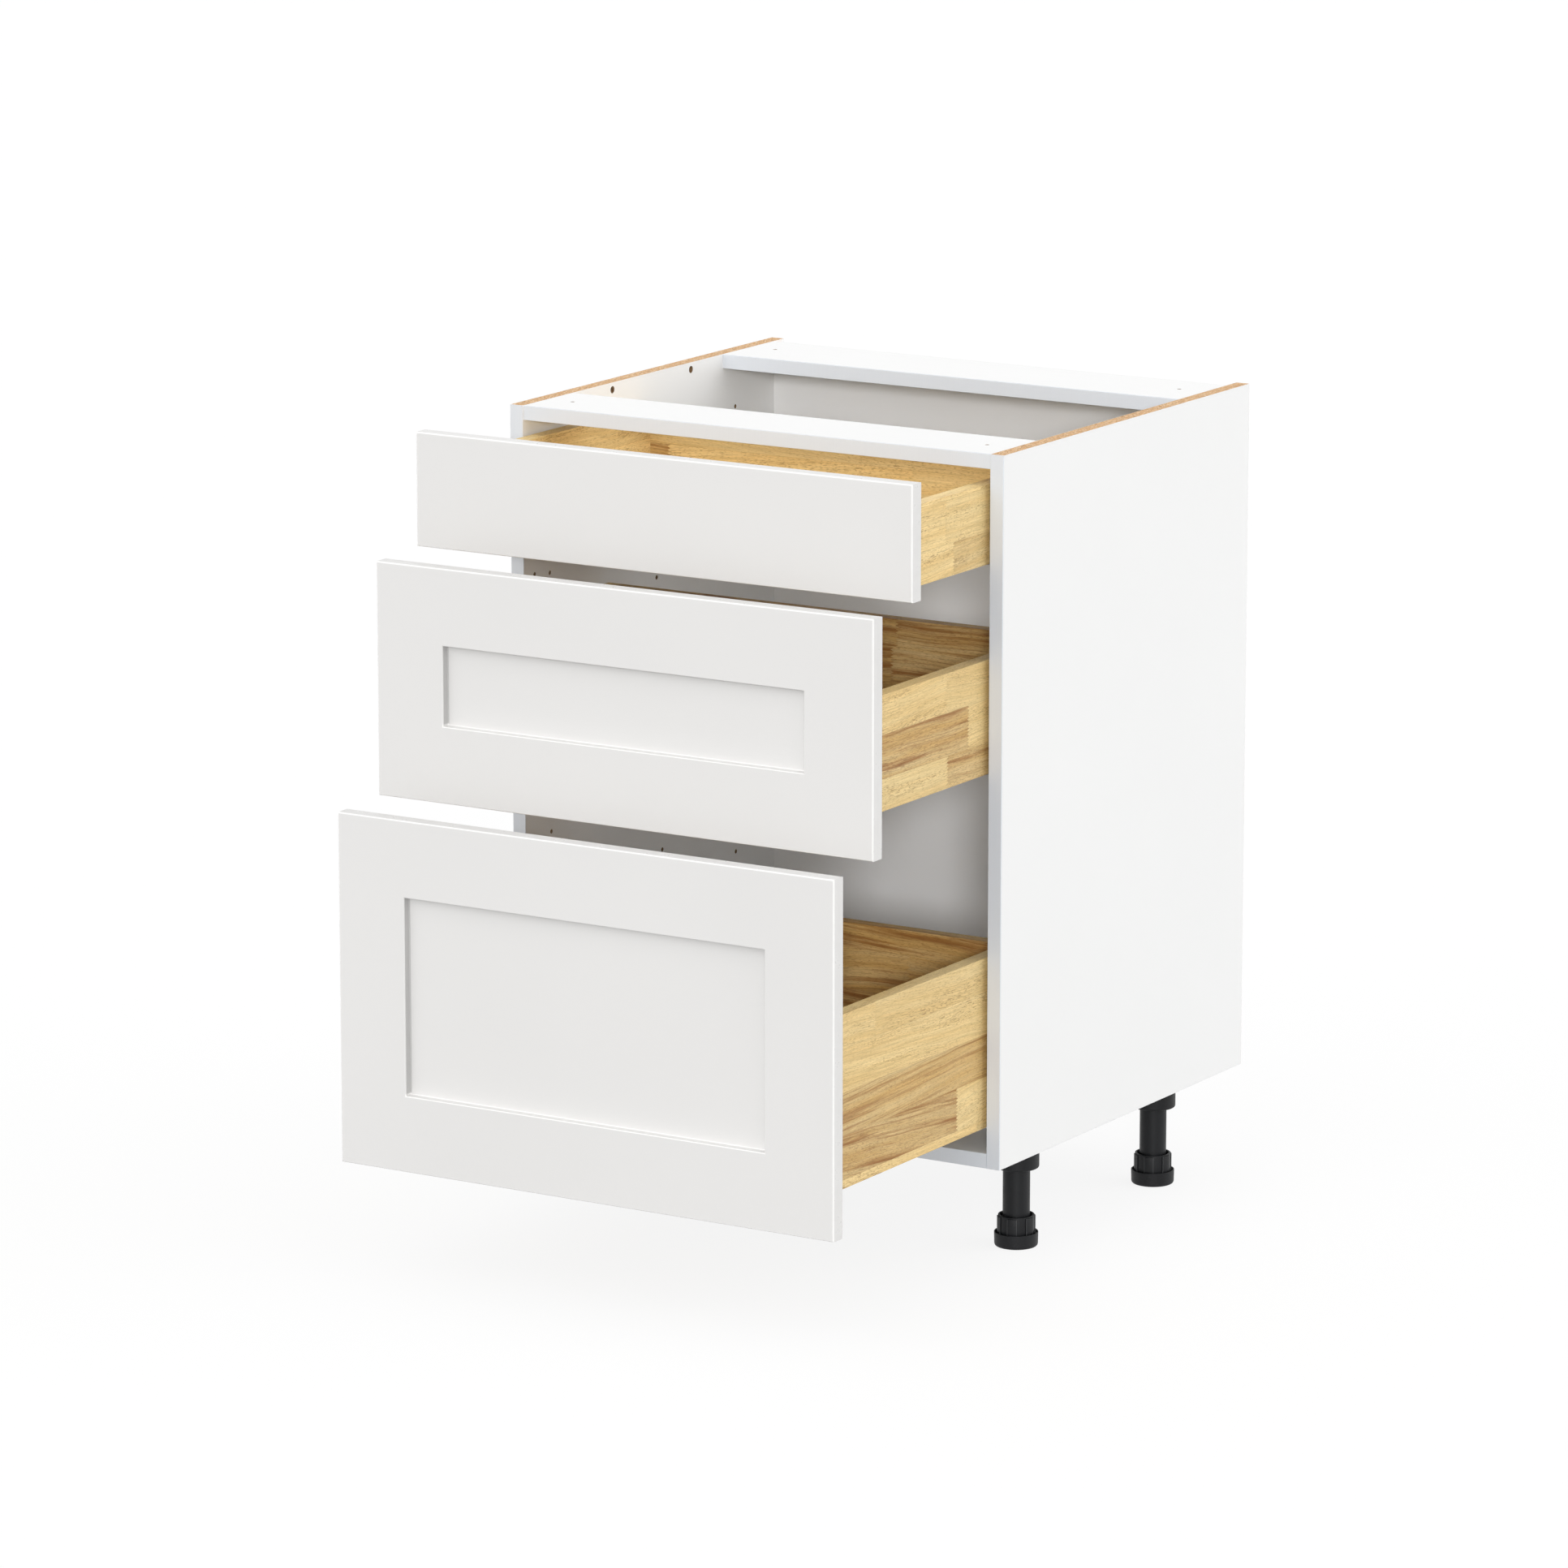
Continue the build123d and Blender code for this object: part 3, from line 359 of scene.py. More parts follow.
class Finish(Nodes):
    """The nodes of a material with one principled shader, on the piece's own coordinates."""

    def __init__(self, name):
        self.material = bpy.data.materials.new(name)
        self.material.use_nodes = True
        super().__init__(self.material.node_tree)
        self.tree.nodes.clear()
        self.shader = self.add("ShaderNodeBsdfPrincipled")
        self.surface = self.add("ShaderNodeOutputMaterial").inputs["Surface"]
        self.feed(self.surface, self.shader.outputs[0])
        self.place = self.add("ShaderNodeTexCoord").outputs["Object"]

    def set(self, **values):
        self.name(self.shader, **values)
        return self.material


def made_once(name, make, *arguments):
    """The node group of this name, made the first time it is asked for."""
    return bpy.data.node_groups.get(name) or make(name, *arguments)


def add_sockets(tree, way, kinds):
    """Adds inputs or outputs to a node group, given as names with their kinds."""
    for name, kind in kinds.items():
        tree.interface.new_socket(
            name=name.replace("_", " "), in_out=way, socket_type="NodeSocket" + kind
        )


def group_of(name, inputs, outputs):
    """A new shader node group, with what it is given and the inputs of its output node."""
    tree = bpy.data.node_groups.new(name, "ShaderNodeTree")
    add_sockets(tree, "INPUT", inputs)
    add_sockets(tree, "OUTPUT", outputs)
    nodes = Nodes(tree)
    return nodes, nodes.add("NodeGroupInput").outputs, nodes.add("NodeGroupOutput")


def chipboard_group(name, colours):
    """Raw chipboard: flat chips of several browns, with pits. Place has the way through the board last."""
    nodes, (place, *_), result = group_of(name, {"Place": "Vector"}, {"Colour": "Color", "Height": "Float"})
    drift = nodes.times(nodes.noise(place, 160.0, 2.0), 0.0016)
    bent = nodes.move("ADD", place, nodes.join(drift, 0.0, 0.0))
    long_chips = nodes.cells(nodes.stretch(bent, 330.0, 330.0, 900.0), 1.0)
    short_chips = nodes.cells(nodes.stretch(bent, 820.0, 820.0, 1500.0), 1.0)
    long_tone = nodes.split(long_chips["Color"])[0]
    short_tone = nodes.split(short_chips["Color"])[1]
    base = nodes.blend(nodes.span(long_tone, 0.15, 0.95), colours.chip, colours.chip_light)
    base = nodes.blend(nodes.span(short_tone, 0.66, 0.84, 0.0, 0.80), base, colours.chip_dark)
    crumbs = nodes.noise(place, 2600.0, 3.0, 0.65)
    base = nodes.varied(base, (crumbs, 0.3, 0.7, 0.70, 1.16))
    pits = nodes.span(nodes.noise(nodes.stretch(place, 1.0, 1.0, 1.8), 720.0, 2.0), 0.64, 0.72)
    base = nodes.blend(nodes.times(pits, 0.7), base, colours.chip_dark)
    height = nodes.minus(nodes.plus(long_tone, crumbs), nodes.times(pits, 2.0))
    nodes.fill(result, base, height)
    return nodes.tree


def rubberwood_group(name, colours, sizes):
    """Edge glued staves with finger jointed ends. Place is (along the grain, across it, through a board)."""
    nodes, (place, board, shade_browning, *_), result = group_of(
        name, {"Place": "Vector", "Board": "Float", "Browning": "Float"},
        {"Colour": "Color", "Roughness": "Float", "Height": "Float"},
    )
    times, span = nodes.times, nodes.span
    along, across, through = nodes.split(place)

    # Which stave a point lies in, and what chance gives that stave
    row_place = nodes.plus(nodes.over(across, sizes.stave_height), times(board, 0.37))
    row = nodes.math("FLOOR", row_place)
    finger = nodes.math("PINGPONG", nodes.over(across, sizes.finger_pitch), 0.5)
    reach = times(finger, 2 * sizes.finger_depth)
    row_value, _ = nodes.scatter(nodes.join(row, board, 3.0))
    stave_place = nodes.plus(nodes.over(nodes.plus(along, reach), sizes.stave_length), times(row_value, 7.3))
    stave = nodes.math("FLOOR", stave_place)
    chance, offset = nodes.scatter(nodes.join(row, stave, board))
    # The browning input moves staves towards brown, as painted shade
    tone = nodes.lesser(nodes.plus(chance, shade_browning), 1.0)

    # The stave's own grain, which wanders and slopes a little
    wander = nodes.minus(nodes.noise(nodes.move("ADD", place, offset), 9.0, 1.0), 0.5)
    slope = span(nodes.split(offset)[1], 0.0, 1.0, -0.07, 0.07)
    bent = nodes.plus(across, times(wander, 0.008), times(along, slope))
    own = nodes.move("ADD", nodes.join(along, bent, through), nodes.stretch(offset, 5.0, 5.0, 5.0))
    bands = nodes.drawn(own, (2.6, 60.0, 60.0), 4.0, 0.6)
    streaks = nodes.drawn(own, (3.2, 90.0, 60.0), 5.0, 0.70)
    lines = nodes.drawn(own, (4.0, 420.0, 300.0), 2.0)
    fibres = nodes.drawn(own, (22.0, 900.0, 700.0), 3.0, 0.65)
    pores = nodes.drawn(own, (230.0, 1300.0, 1300.0), 1.0, 0.4)
    vessels = nodes.drawn(own, (70.0, 900.0, 900.0), 1.0, 0.4)
    clumps = nodes.drawn(own, (8.0, 70.0, 60.0), 2.0)

    # Colour: bands and streaks, darker in brown staves, then fibres and pores
    brown = span(tone, 0.70, 0.76)
    thick = nodes.greater(span(clumps, 0.42, 0.64, 0.45, 1.0), times(brown, 0.8))
    pore_mask = nodes.greater(
        times(span(pores, 0.56, 0.66, 0.0, 0.50), thick),
        times(span(vessels, 0.62, 0.68, 0.0, 0.60), nodes.math("POWER", thick, 3.0)),
    )
    banded = times(span(bands, 0.36, 0.62), span(brown, 0.0, 1.0, 0.50, 1.0))
    base = nodes.blend(banded, colours.wood_light, colours.wood)
    streak = times(span(streaks, 0.44, 0.62), span(brown, 0.0, 1.0, 0.05, 0.90))
    base = nodes.blend(nodes.greater(times(brown, 0.26), streak), base, colours.wood_dark)
    dark_line = times(span(lines, 0.58, 0.68), span(brown, 0.0, 1.0, 0.10, 0.50))
    base = nodes.blend(dark_line, base, colours.wood_dark)
    base = nodes.varied(base, (tone, 0.0, 0.56, 1.08, 0.94), (fibres, 0.3, 0.7, 1.14, 0.82))
    base = nodes.blend(pore_mask, base, colours.wood_pore)

    # Glue lines between the rows and at the ends of the staves
    row_edge, end_edge = (
        times(nodes.math("PINGPONG", nodes.math("FRACT", part), 0.5), size)
        for part, size in ((row_place, sizes.stave_height), (stave_place, sizes.stave_length))
    )
    seam_mask = span(nodes.lesser(row_edge, end_edge), 0.0, 0.00035, 0.28, 0.0)
    base = nodes.blend(seam_mask, base, colours.wood_pore)
    height = nodes.minus(times(fibres, 0.6), nodes.plus(pore_mask, seam_mask))
    nodes.fill(result, base, span(fibres, 0.3, 0.7, 0.38, 0.55), height)
    return nodes.tree


def away_from(nodes, value, plane):
    """Distance of a coordinate from a plane."""
    return nodes.math("ABSOLUTE", nodes.minus(value, plane))


def edge_distance(nodes, axes, low, high):
    """Distance from the nearest of the planes that bound a box on some of its axes."""
    nearest = None
    for value, first, last in zip(axes, low, high):
        for plane in (first, last):
            distance = away_from(nodes, value, plane)
            nearest = distance if nearest is None else nodes.lesser(nearest, distance)
    return nearest


def foil_board(name, node, through, covered, white, colours, sizes):
    """White foil on chipboard. The core shows wherever a cut or a hole goes deeper than the foil, but not on
    the covered planes, which are given as (axis, place)."""
    finish = Finish(name)
    times, span = finish.times, finish.span
    low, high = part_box(node)
    parts = finish.split(finish.place)
    inside = edge_distance(finish, parts[through:], [low[through]], [high[through]])
    for axis, plane in covered:
        inside = finish.lesser(inside, away_from(finish, parts[axis], plane))
    ragged = times(finish.noise(finish.place, 1900.0, 2.0), 0.00016)
    raw = span(finish.plus(inside, ragged), sizes.foil_thickness, sizes.foil_thickness + 0.00014)
    flat, flat_low, flat_high = (
        [whole[axis] for axis in range(3) if axis != through] for whole in (parts, low, high)
    )
    chipboard = made_once("raw_chipboard", chipboard_group, colours)
    chips = finish.group(chipboard, Place=finish.join(*flat, parts[through]))

    clouds = finish.noise(finish.place, 5.0, 2.0)
    grain = finish.noise(finish.place, 2400.0, 2.0, 0.6)
    rubs = finish.drawn(finish.place, (8.0, 60.0, 8.0), 3.0)
    from_edge = edge_distance(finish, flat, flat_low, flat_high)
    worn = span(from_edge, 0.0, 0.004, 1.0, 0.0)
    # Painted shade: the raw core inside holes, away from the board's edges, is darker than at cut edges
    hole_shade = span(from_edge, 0.0006, 0.0012, 1.0, 0.42)
    foil = finish.varied(white, (clouds, 0.3, 0.7, 0.992, 1.006), (grain, 0.3, 0.7, 0.992, 1.004))
    foil = finish.shaded(foil, finish.minus(1.0, times(worn, 0.015)))
    foil_roughness = finish.plus(span(rubs, 0.35, 0.65, 0.35, 0.39), times(worn, 0.06))
    height = finish.plus(times(grain, 0.12), times(raw, chips["Height"]))
    return finish.set(
        Base_Color=finish.blend(raw, foil, finish.shaded(chips["Colour"], hole_shade)),
        Roughness=finish.plus(times(foil_roughness, finish.minus(1.0, raw)), times(raw, 0.85)),
        Normal=finish.bump(height, 0.00012),
    )


def plastic_band(name, colours):
    """Thin white band on a board's front edge, with the fine lines that its trimming leaves."""
    finish = Finish(name)
    grain = finish.noise(finish.place, 2600.0, 2.0, 0.6)
    scraped = finish.drawn(finish.place, (1800.0, 1800.0, 30.0), 2.0)
    return finish.set(
        # The band's colour is darker than the foil, as painted shade on the front edges
        Base_Color=finish.varied(
            colours.band, (scraped, 0.3, 0.7, 0.985, 1.005), (grain, 0.3, 0.7, 0.99, 1.005)
        ),
        Roughness=finish.span(scraped, 0.3, 0.7, 0.30, 0.42),
        Normal=finish.bump(finish.plus(grain, scraped), 0.00002),
    )


def recess_marks(finish, x, z, edge, depth, low, high, sizes):
    """Masks of a drawer front's sunk field: painted highlights on its lips and along the foot of its lower
    wall, painted shade on its upper walls, and a painted shadow where the frame above it shades the field."""
    times, span = finish.times, finish.span
    ledge = low.z + sizes.frame_width
    right_wall = high.x - sizes.frame_width
    ceiling = high.z - sizes.frame_width
    above_ledge = span(z, ledge + 0.001, ledge + 0.003)
    short_of_right = span(x, right_wall - 0.003, right_wall - 0.001, 1.0, 0.0)
    from_wall = away_from(finish, edge, sizes.frame_width)
    # Painted highlight on the rounded lip of the field, kept along its lower and right sides
    lip_highlight = span(from_wall, 0.6 * sizes.field_edge, sizes.field_edge, 1.0, 0.0)
    lip_highlight = times(lip_highlight, finish.minus(1.0, times(above_ledge, short_of_right)))

    in_recess = times(
        span(edge, sizes.frame_width - 0.0008, sizes.frame_width - 0.0002),
        span(depth, sizes.field_depth + 0.0005, sizes.field_depth + 0.0015, 1.0, 0.0),
    )
    wall = times(in_recess, span(from_wall, sizes.field_cove, 1.7 * sizes.field_cove, 1.0, 0.0))
    on_field = span(depth, sizes.field_depth - 0.0012, sizes.field_depth - 0.0004)
    # Painted highlight along the cove at the foot of the lower wall
    cove_highlight = times(wall, on_field, finish.minus(1.0, above_ledge))
    sunk = span(depth, 0.7 * sizes.field_edge, 1.6 * sizes.field_edge)
    # Painted shade on the walls above the ledge
    shaded_wall = times(wall, sunk, above_ledge)
    # Painted shadow on the field under the upper frame
    under_frame = times(span(z, ceiling - 0.009, ceiling), times(on_field, in_recess))
    return lip_highlight, cove_highlight, shaded_wall, under_frame


def sprayed_paint(name, node, framed, colours, sizes):
    """Satin paint with a faint orange peel, painted highlights where a drawer front and its field have
    edges, painted shade on its side faces and, on a framed front, painted shade and shadow in its field.
    """
    finish = Finish(name)
    times, span = finish.times, finish.span
    low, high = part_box(node)
    x, y, z = finish.split(finish.place)
    edge = edge_distance(finish, (x, z), (low.x, low.z), (high.x, high.z))
    depth = finish.minus(y, low.y)
    near_front = span(depth, 0.5 * sizes.front_edge, sizes.front_edge, 1.0, 0.0)
    # Painted highlight along the rounded outer edges of the face
    pale = span(edge, 0.6 * sizes.front_edge, 1.1 * sizes.front_edge, 1.0, 0.0)
    shading = []
    if framed:
        lip_highlight, cove_highlight, shaded_wall, under_frame = recess_marks(finish, x, z, edge, depth, low, high, sizes)
        # The lips of the field take the painted highlight as well
        pale = finish.greater(pale, lip_highlight)
        # Painted highlight along the cove, painted shade on the walls and painted shadow under the frame
        shading = [
            (cove_highlight, 0.0, 1.0, 1.0, 1.10),
            (shaded_wall, 0.0, 1.0, 1.0, 0.66),
            (finish.math("POWER", under_frame, 2.0), 0.0, 1.0, 1.0, 0.90),
            (finish.math("POWER", under_frame, 9.0), 0.0, 1.0, 1.0, 0.70),
        ]
    # Painted shade: the side faces of a front are darker than its face
    side_shade = times(
        span(edge, 0.0001, 0.0008, 1.0, 0.0), span(depth, sizes.front_edge, 1.3 * sizes.front_edge)
    )
    broken = finish.noise(finish.place, 90.0, 3.0)
    rubbed = times(span(edge, 0.0, 0.005, 1.0, 0.0), span(broken, 0.35, 0.6))
    peel = finish.noise(finish.place, 420.0, 2.0, 0.45)
    dust = finish.noise(finish.place, 3000.0, 2.0, 0.6)
    clouds = finish.noise(finish.place, 4.0, 2.0)
    base = finish.varied(
        colours.paint,
        (clouds, 0.3, 0.7, 0.990, 1.008),
        (dust, 0.3, 0.7, 0.990, 1.006),
        (rubbed, 0.0, 1.0, 1.0, 1.02),
        (times(pale, near_front), 0.0, 1.0, 1.0, 1.16),
        (side_shade, 0.0, 1.0, 1.0, 0.93),
        *shading,
    )
    return finish.set(
        Base_Color=base,
        Roughness=finish.minus(span(peel, 0.3, 0.7, 0.34, 0.42), times(rubbed, 0.08)),
        Normal=finish.bump(finish.plus(peel, times(dust, 0.15)), 0.00003),
    )


def oiled_wood(name, order, board, shade_browning, colours, sizes):
    """Oiled rubberwood. Order gives the axes along the grain, across it and through the board, board is the
    number that its staves follow from, and the browning given moves them towards brown, as painted shade."""
    finish = Finish(name)
    parts = finish.split(finish.place)
    staves = made_once("rubberwood_staves", rubberwood_group, colours, sizes)
    place = finish.join(*(parts[axis] for axis in order))
    wood = finish.group(staves, Place=place, Board=float(board), Browning=shade_browning)
    return finish.set(
        Base_Color=wood["Colour"], Roughness=wood["Roughness"], Specular_IOR_Level=0.25, Coat_Weight=0.05,
        Coat_Roughness=0.32, Normal=finish.bump(wood["Height"], 0.00010),
    )


def dowel_beech(name, colours):
    """Beech dowels, with grain along them and short dark rays."""
    finish = Finish(name)
    fibres = finish.drawn(finish.place, (40.0, 1400.0, 1400.0), 3.0, 0.6)
    rays = finish.drawn(finish.place, (260.0, 1500.0, 1500.0), 1.0)
    base = finish.varied(colours.beech, (fibres, 0.3, 0.7, 1.1, 0.82))
    base = finish.blend(finish.span(rays, 0.62, 0.72, 0.0, 0.4), base, colours.wood_dark)
    return finish.set(Base_Color=base, Roughness=0.62, Normal=finish.bump(fibres, 0.0001))


def lug_edge_highlight(finish, x, y, centre, sizes):
    """Painted highlight: a mask that is one along the upright edges of a collar's lugs."""
    away_x, away_y = finish.minus(x, centre.x), finish.minus(y, centre.y)
    turn = finish.math("ARCTAN2", away_y, away_x)
    step = math.pi / sizes.lug_count
    part = finish.math("FRACT", finish.over(finish.minus(turn, sizes.lug_phase), step))
    squares = (finish.math("POWER", away, 2.0) for away in (away_x, away_y))
    radius = finish.math("SQRT", finish.plus(*squares))
    from_edge = finish.times(finish.math("PINGPONG", part, 0.5), step * sizes.collar_core)
    edge = finish.span(from_edge, 0.0003, 0.0007, 1.0, 0.0)
    return finish.times(edge, finish.span(radius, sizes.collar_core + 0.0002, sizes.collar_core + 0.0008))


def moulded_plastic(name, base_colour, scuff, colours, lugs=None):
    """Moulded plastic with a fine sparked grain, dull patches and light scuffs, most of them low down. Lugs
    are given as the collar's centre and the sizes, where there are any, and get a painted highlight along
    their upright edges."""
    finish = Finish(name)
    times, span = finish.times, finish.span
    x, y, z = finish.split(finish.place)
    sparked = finish.cells(finish.place, 2100.0)["Distance"]
    patches = finish.noise(finish.place, 45.0, 3.0, 0.6)
    scratches = finish.drawn(finish.place, (300.0, 300.0, 2600.0), 2.0)
    scuffs = times(span(scratches, 0.62, 0.72), span(z, 0.0, 0.02, 1.0, 0.15))
    base = finish.varied(base_colour, (patches, 0.3, 0.7, 0.82, 1.22), (sparked, 0.1, 0.7, 0.9, 1.15))
    base = finish.blend(times(scuffs, scuff), base, colours.alloy)
    if lugs:
        # Painted highlight along the upright edges of the lugs
        base = finish.blend(times(lug_edge_highlight(finish, x, y, *lugs), 0.11), base, colours.alloy)
    return finish.set(
        Base_Color=base,
        Roughness=finish.plus(span(patches, 0.3, 0.7, 0.40, 0.54), times(scuffs, 0.15)),
        Specular_IOR_Level=0.28,
        Normal=finish.bump(finish.plus(sparked, times(scuffs, 0.4)), 0.00006),
    )


def rolled_steel(name, colours):
    """Zinc plated sheet with faint crystals and rolling lines along the runner."""
    finish = Finish(name)
    crystals = finish.cells(finish.stretch(finish.place, 1.0, 0.7, 1.0), 420.0)
    crystal = finish.split(crystals["Color"])[0]
    lines = finish.drawn(finish.place, (3200.0, 22.0, 3200.0), 2.0)
    stains = finish.noise(finish.place, 30.0, 3.0)
    base = finish.varied(
        colours.steel, (crystal, 0.0, 1.0, 0.93, 1.05), (lines, 0.3, 0.7, 0.94, 1.04),
        (stains, 0.35, 0.7, 1.0, 0.86),
    )
    roughness = finish.plus(
        finish.span(stains, 0.3, 0.7, 0.26, 0.38), finish.span(crystal, 0.0, 1.0, -0.03, 0.04)
    )
    normal = finish.bump(lines, 0.00003)
    return finish.set(Base_Color=base, Metallic=1.0, Roughness=roughness, Normal=normal)


def plated_metal(name, base_colour, rough):
    """Small plated or cast metal pieces, with dull and bright spots."""
    finish = Finish(name)
    pebbles = finish.noise(finish.place, 1600.0, 3.0, 0.6)
    dull = finish.noise(finish.place, 240.0, 3.0)
    base = finish.varied(base_colour, (dull, 0.3, 0.7, 0.84, 1.08), (pebbles, 0.3, 0.7, 0.94, 1.05))
    roughness = finish.plus(rough, finish.span(dull, 0.3, 0.7, -0.06, 0.12))
    normal = finish.bump(pebbles, 0.00004)
    return finish.set(Base_Color=base, Metallic=1.0, Roughness=roughness, Normal=normal)


def seen_directly(nodes):
    """One for a ray from the camera, a gloss or a clear piece, and nought for one that carries light."""
    path = nodes.add("ShaderNodeLightPath").outputs
    glossy_or_clear = nodes.greater(path["Is Glossy Ray"], path["Is Transmission Ray"])
    return nodes.greater(path["Is Camera Ray"], glossy_or_clear)


def studio_floor(name, colours, studio):
    """Matt floor that looks nearly white with a light shadow, and throws back less light than it shows."""
    finish = Finish(name)
    seen = seen_directly(finish)
    mottle = finish.noise(finish.place, 3.0, 2.0)
    pale = finish.varied(colours.floor, (mottle, 0.3, 0.7, 0.998, 1.0))
    dim = finish.shaded(colours.floor, studio.floor_bounce)
    material = finish.set(Base_Color=finish.blend(seen, dim, pale), Roughness=0.9, Specular_IOR_Level=0.1)
    lifted = finish.times(seen, studio.floor_glow)
    glow = finish.white("ShaderNodeEmission", 1.0)
    finish.feed(finish.surface, finish.faded(lifted, finish.shader.outputs[0], glow))
    return material


# ---------------------------------------------------------------------------------------------------------
# Mesh making
# ---------------------------------------------------------------------------------------------------------


def new_object(name, data):
    thing = bpy.data.objects.new(name, data)
    bpy.context.scene.collection.objects.link(thing)
    return thing


def piece_of(shape, name):
    """A new object with the mesh that was being edited."""
    mesh = bpy.data.meshes.new(name)
    shape.to_mesh(mesh)
    shape.free()
    return new_object(name, mesh)


def settle(piece):
    """Turns a piece with modifiers into a plain mesh."""
    bpy.context.view_layer.update()
    graph = bpy.context.evaluated_depsgraph_get()
    shown = piece.evaluated_get(graph)
    mesh = bpy.data.meshes.new_from_object(shown, preserve_all_data_layers=True, depsgraph=graph)
    mesh.name = piece.name
    piece.modifiers.clear()
    piece.data = mesh
    return piece


def paint_all(piece, material):
    piece.data.materials.clear()
    piece.data.materials.append(material)


def stand_for(piece, node, body, slot):
    """Makes a finished piece move with its body in the place of a CAD node."""
    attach(piece, body)
    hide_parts(node)


def weigh_normals(piece):
    """Keeps the large faces of a smooth piece flat in the light."""
    piece.data.shade_smooth()
    weighted = piece.modifiers.new("flat faces", "WEIGHTED_NORMAL")
    weighted.mode = "FACE_AREA"
    weighted.weight = 100
    weighted.keep_sharp = True
    return settle(piece)


def merged_copy(node, name):
    """A copy of a CAD node's mesh with its doubles merged and its flat faces whole again."""
    shape = bmesh.new()
    shape.from_mesh(NODES[node].data)
    for layer in list(shape.loops.layers.uv):
        shape.loops.layers.uv.remove(layer)
    bmesh.ops.remove_doubles(shape, verts=shape.verts, dist=MERGE_DISTANCE)
    bmesh.ops.dissolve_limit(shape, angle_limit=FLAT_ANGLE, verts=shape.verts, edges=shape.edges)
    return piece_of(shape, name)


def eased_board(node, name, body, width, material, slot):
    """A board as the CAD has it, with its edges eased. It stands for its node."""
    board = merged_copy(node, name)
    bevel = board.modifiers.new("eased edges", "BEVEL")
    bevel.width = width
    bevel.segments = 2
    bevel.limit_method = "ANGLE"
    bevel.angle_limit = EASE_ANGLE
    weigh_normals(board)
    paint_all(board, material)
    stand_for(board, node, body, slot)


def eased_corners(points, steps=4):
    """Points of an outline with rounded corners. Each point given is (radius, height, rounding there)."""
    outline = []
    for index, (x, z, ease) in enumerate(points):
        if ease <= 0:
            outline.append((x, z))
            continue
        corner = Vector((x, z))
        before = Vector(points[index - 1][:2]) - corner
        after = Vector(points[(index + 1) % len(points)][:2]) - corner
        half = before.angle(after) / 2
        reach = min(ease / math.tan(half), before.length * EASE_LIMIT, after.length * EASE_LIMIT)
        start = corner + before.normalized() * reach
        end = corner + after.normalized() * reach
        for step in range(steps + 1):
            part = step / steps
            place = start * (1 - part) ** 2 + corner * 2 * part * (1 - part) + end * part ** 2
            outline.append((place.x, place.y))
    return outline


def turned(name, outline, segments, centre=(0, 0, 0)):
    """A closed solid turned round an upright axis from a closed outline of (radius, height) points."""
    shape = bmesh.new()
    rings = []
    for radius, height in outline:
        on_axis = radius < MERGE_DISTANCE
        turns = (2 * math.pi * step / segments for step in range(1 if on_axis else segments))
        rings.append([
            shape.verts.new((
                centre[0] + radius * math.cos(turn), centre[1] + radius * math.sin(turn), centre[2] + height,
            ))
            for turn in turns
        ])
    for first, second in zip(rings, rings[1:] + rings[:1]):
        for step in range(segments):
            after = (step + 1) % segments
            if len(first) == 1 and len(second) == 1:
                break
            if len(first) == 1:
                shape.faces.new((first[0], second[step], second[after]))
            elif len(second) == 1:
                shape.faces.new((first[step], second[0], first[after]))
            else:
                shape.faces.new((first[step], second[step], second[after], first[after]))
    bmesh.ops.recalc_face_normals(shape, faces=shape.faces)
    return piece_of(shape, name)


def quarter_round(centre, radius, start, end):
    """Points of a quarter circle round a centre, from one direction to another."""
    points = []
    for step in range(ARC_STEPS + 1):
        turn = math.pi / 2 * step / ARC_STEPS
        points.append(tuple(
            origin + radius * (math.cos(turn) * first + math.sin(turn) * last)
            for origin, first, last in zip(centre, start, end)
        ))
    return points


def front_section(thickness, framed, sizes):
    """The section of a drawer front from its back to its face, and on to its field where it has a frame.
    Each point is (inset from the outer edge, height above the back)."""
    back, front = sizes.back_edge, sizes.front_edge
    section = [(back, 0.0), (0.3 * back, 0.3 * back), (0.0, back)]
    section += quarter_round((front, thickness - front), front, (-1, 0), (0, 1))
    if framed:
        frame_width, edge, cove = sizes.frame_width, sizes.field_edge, sizes.field_cove
        floor = thickness - sizes.field_depth
        section += quarter_round((frame_width - edge, thickness - edge), edge, (0, 1), (1, 0))
        section += quarter_round((frame_width + cove, floor + cove), cove, (-1, 0), (0, -1))
    return section


def mitred_front(name, low, high, section):
    """A drawer front whose section runs round its four sides, with sharp mitre lines at the corners."""
    shape = bmesh.new()
    loops = []
    for inset, rise in section:
        left, right, y = low.x + inset, high.x - inset, high.y - rise
        bottom, top = low.z + inset, high.z - inset
        corners = ((left, y, bottom), (right, y, bottom), (right, y, top), (left, y, top))
        loops.append([shape.verts.new(corner) for corner in corners])
    for first, second in zip(loops, loops[1:]):
        for corner in range(4):
            after = (corner + 1) % 4
            shape.faces.new((first[corner], first[after], second[after], second[corner]))
    shape.faces.new(loops[0][::-1])
    shape.faces.new(loops[-1])
    bmesh.ops.recalc_face_normals(shape, faces=shape.faces)
    for edge in shape.edges:
        edge.smooth = edge.calc_face_angle() <= MITRE_ANGLE
    return piece_of(shape, name)


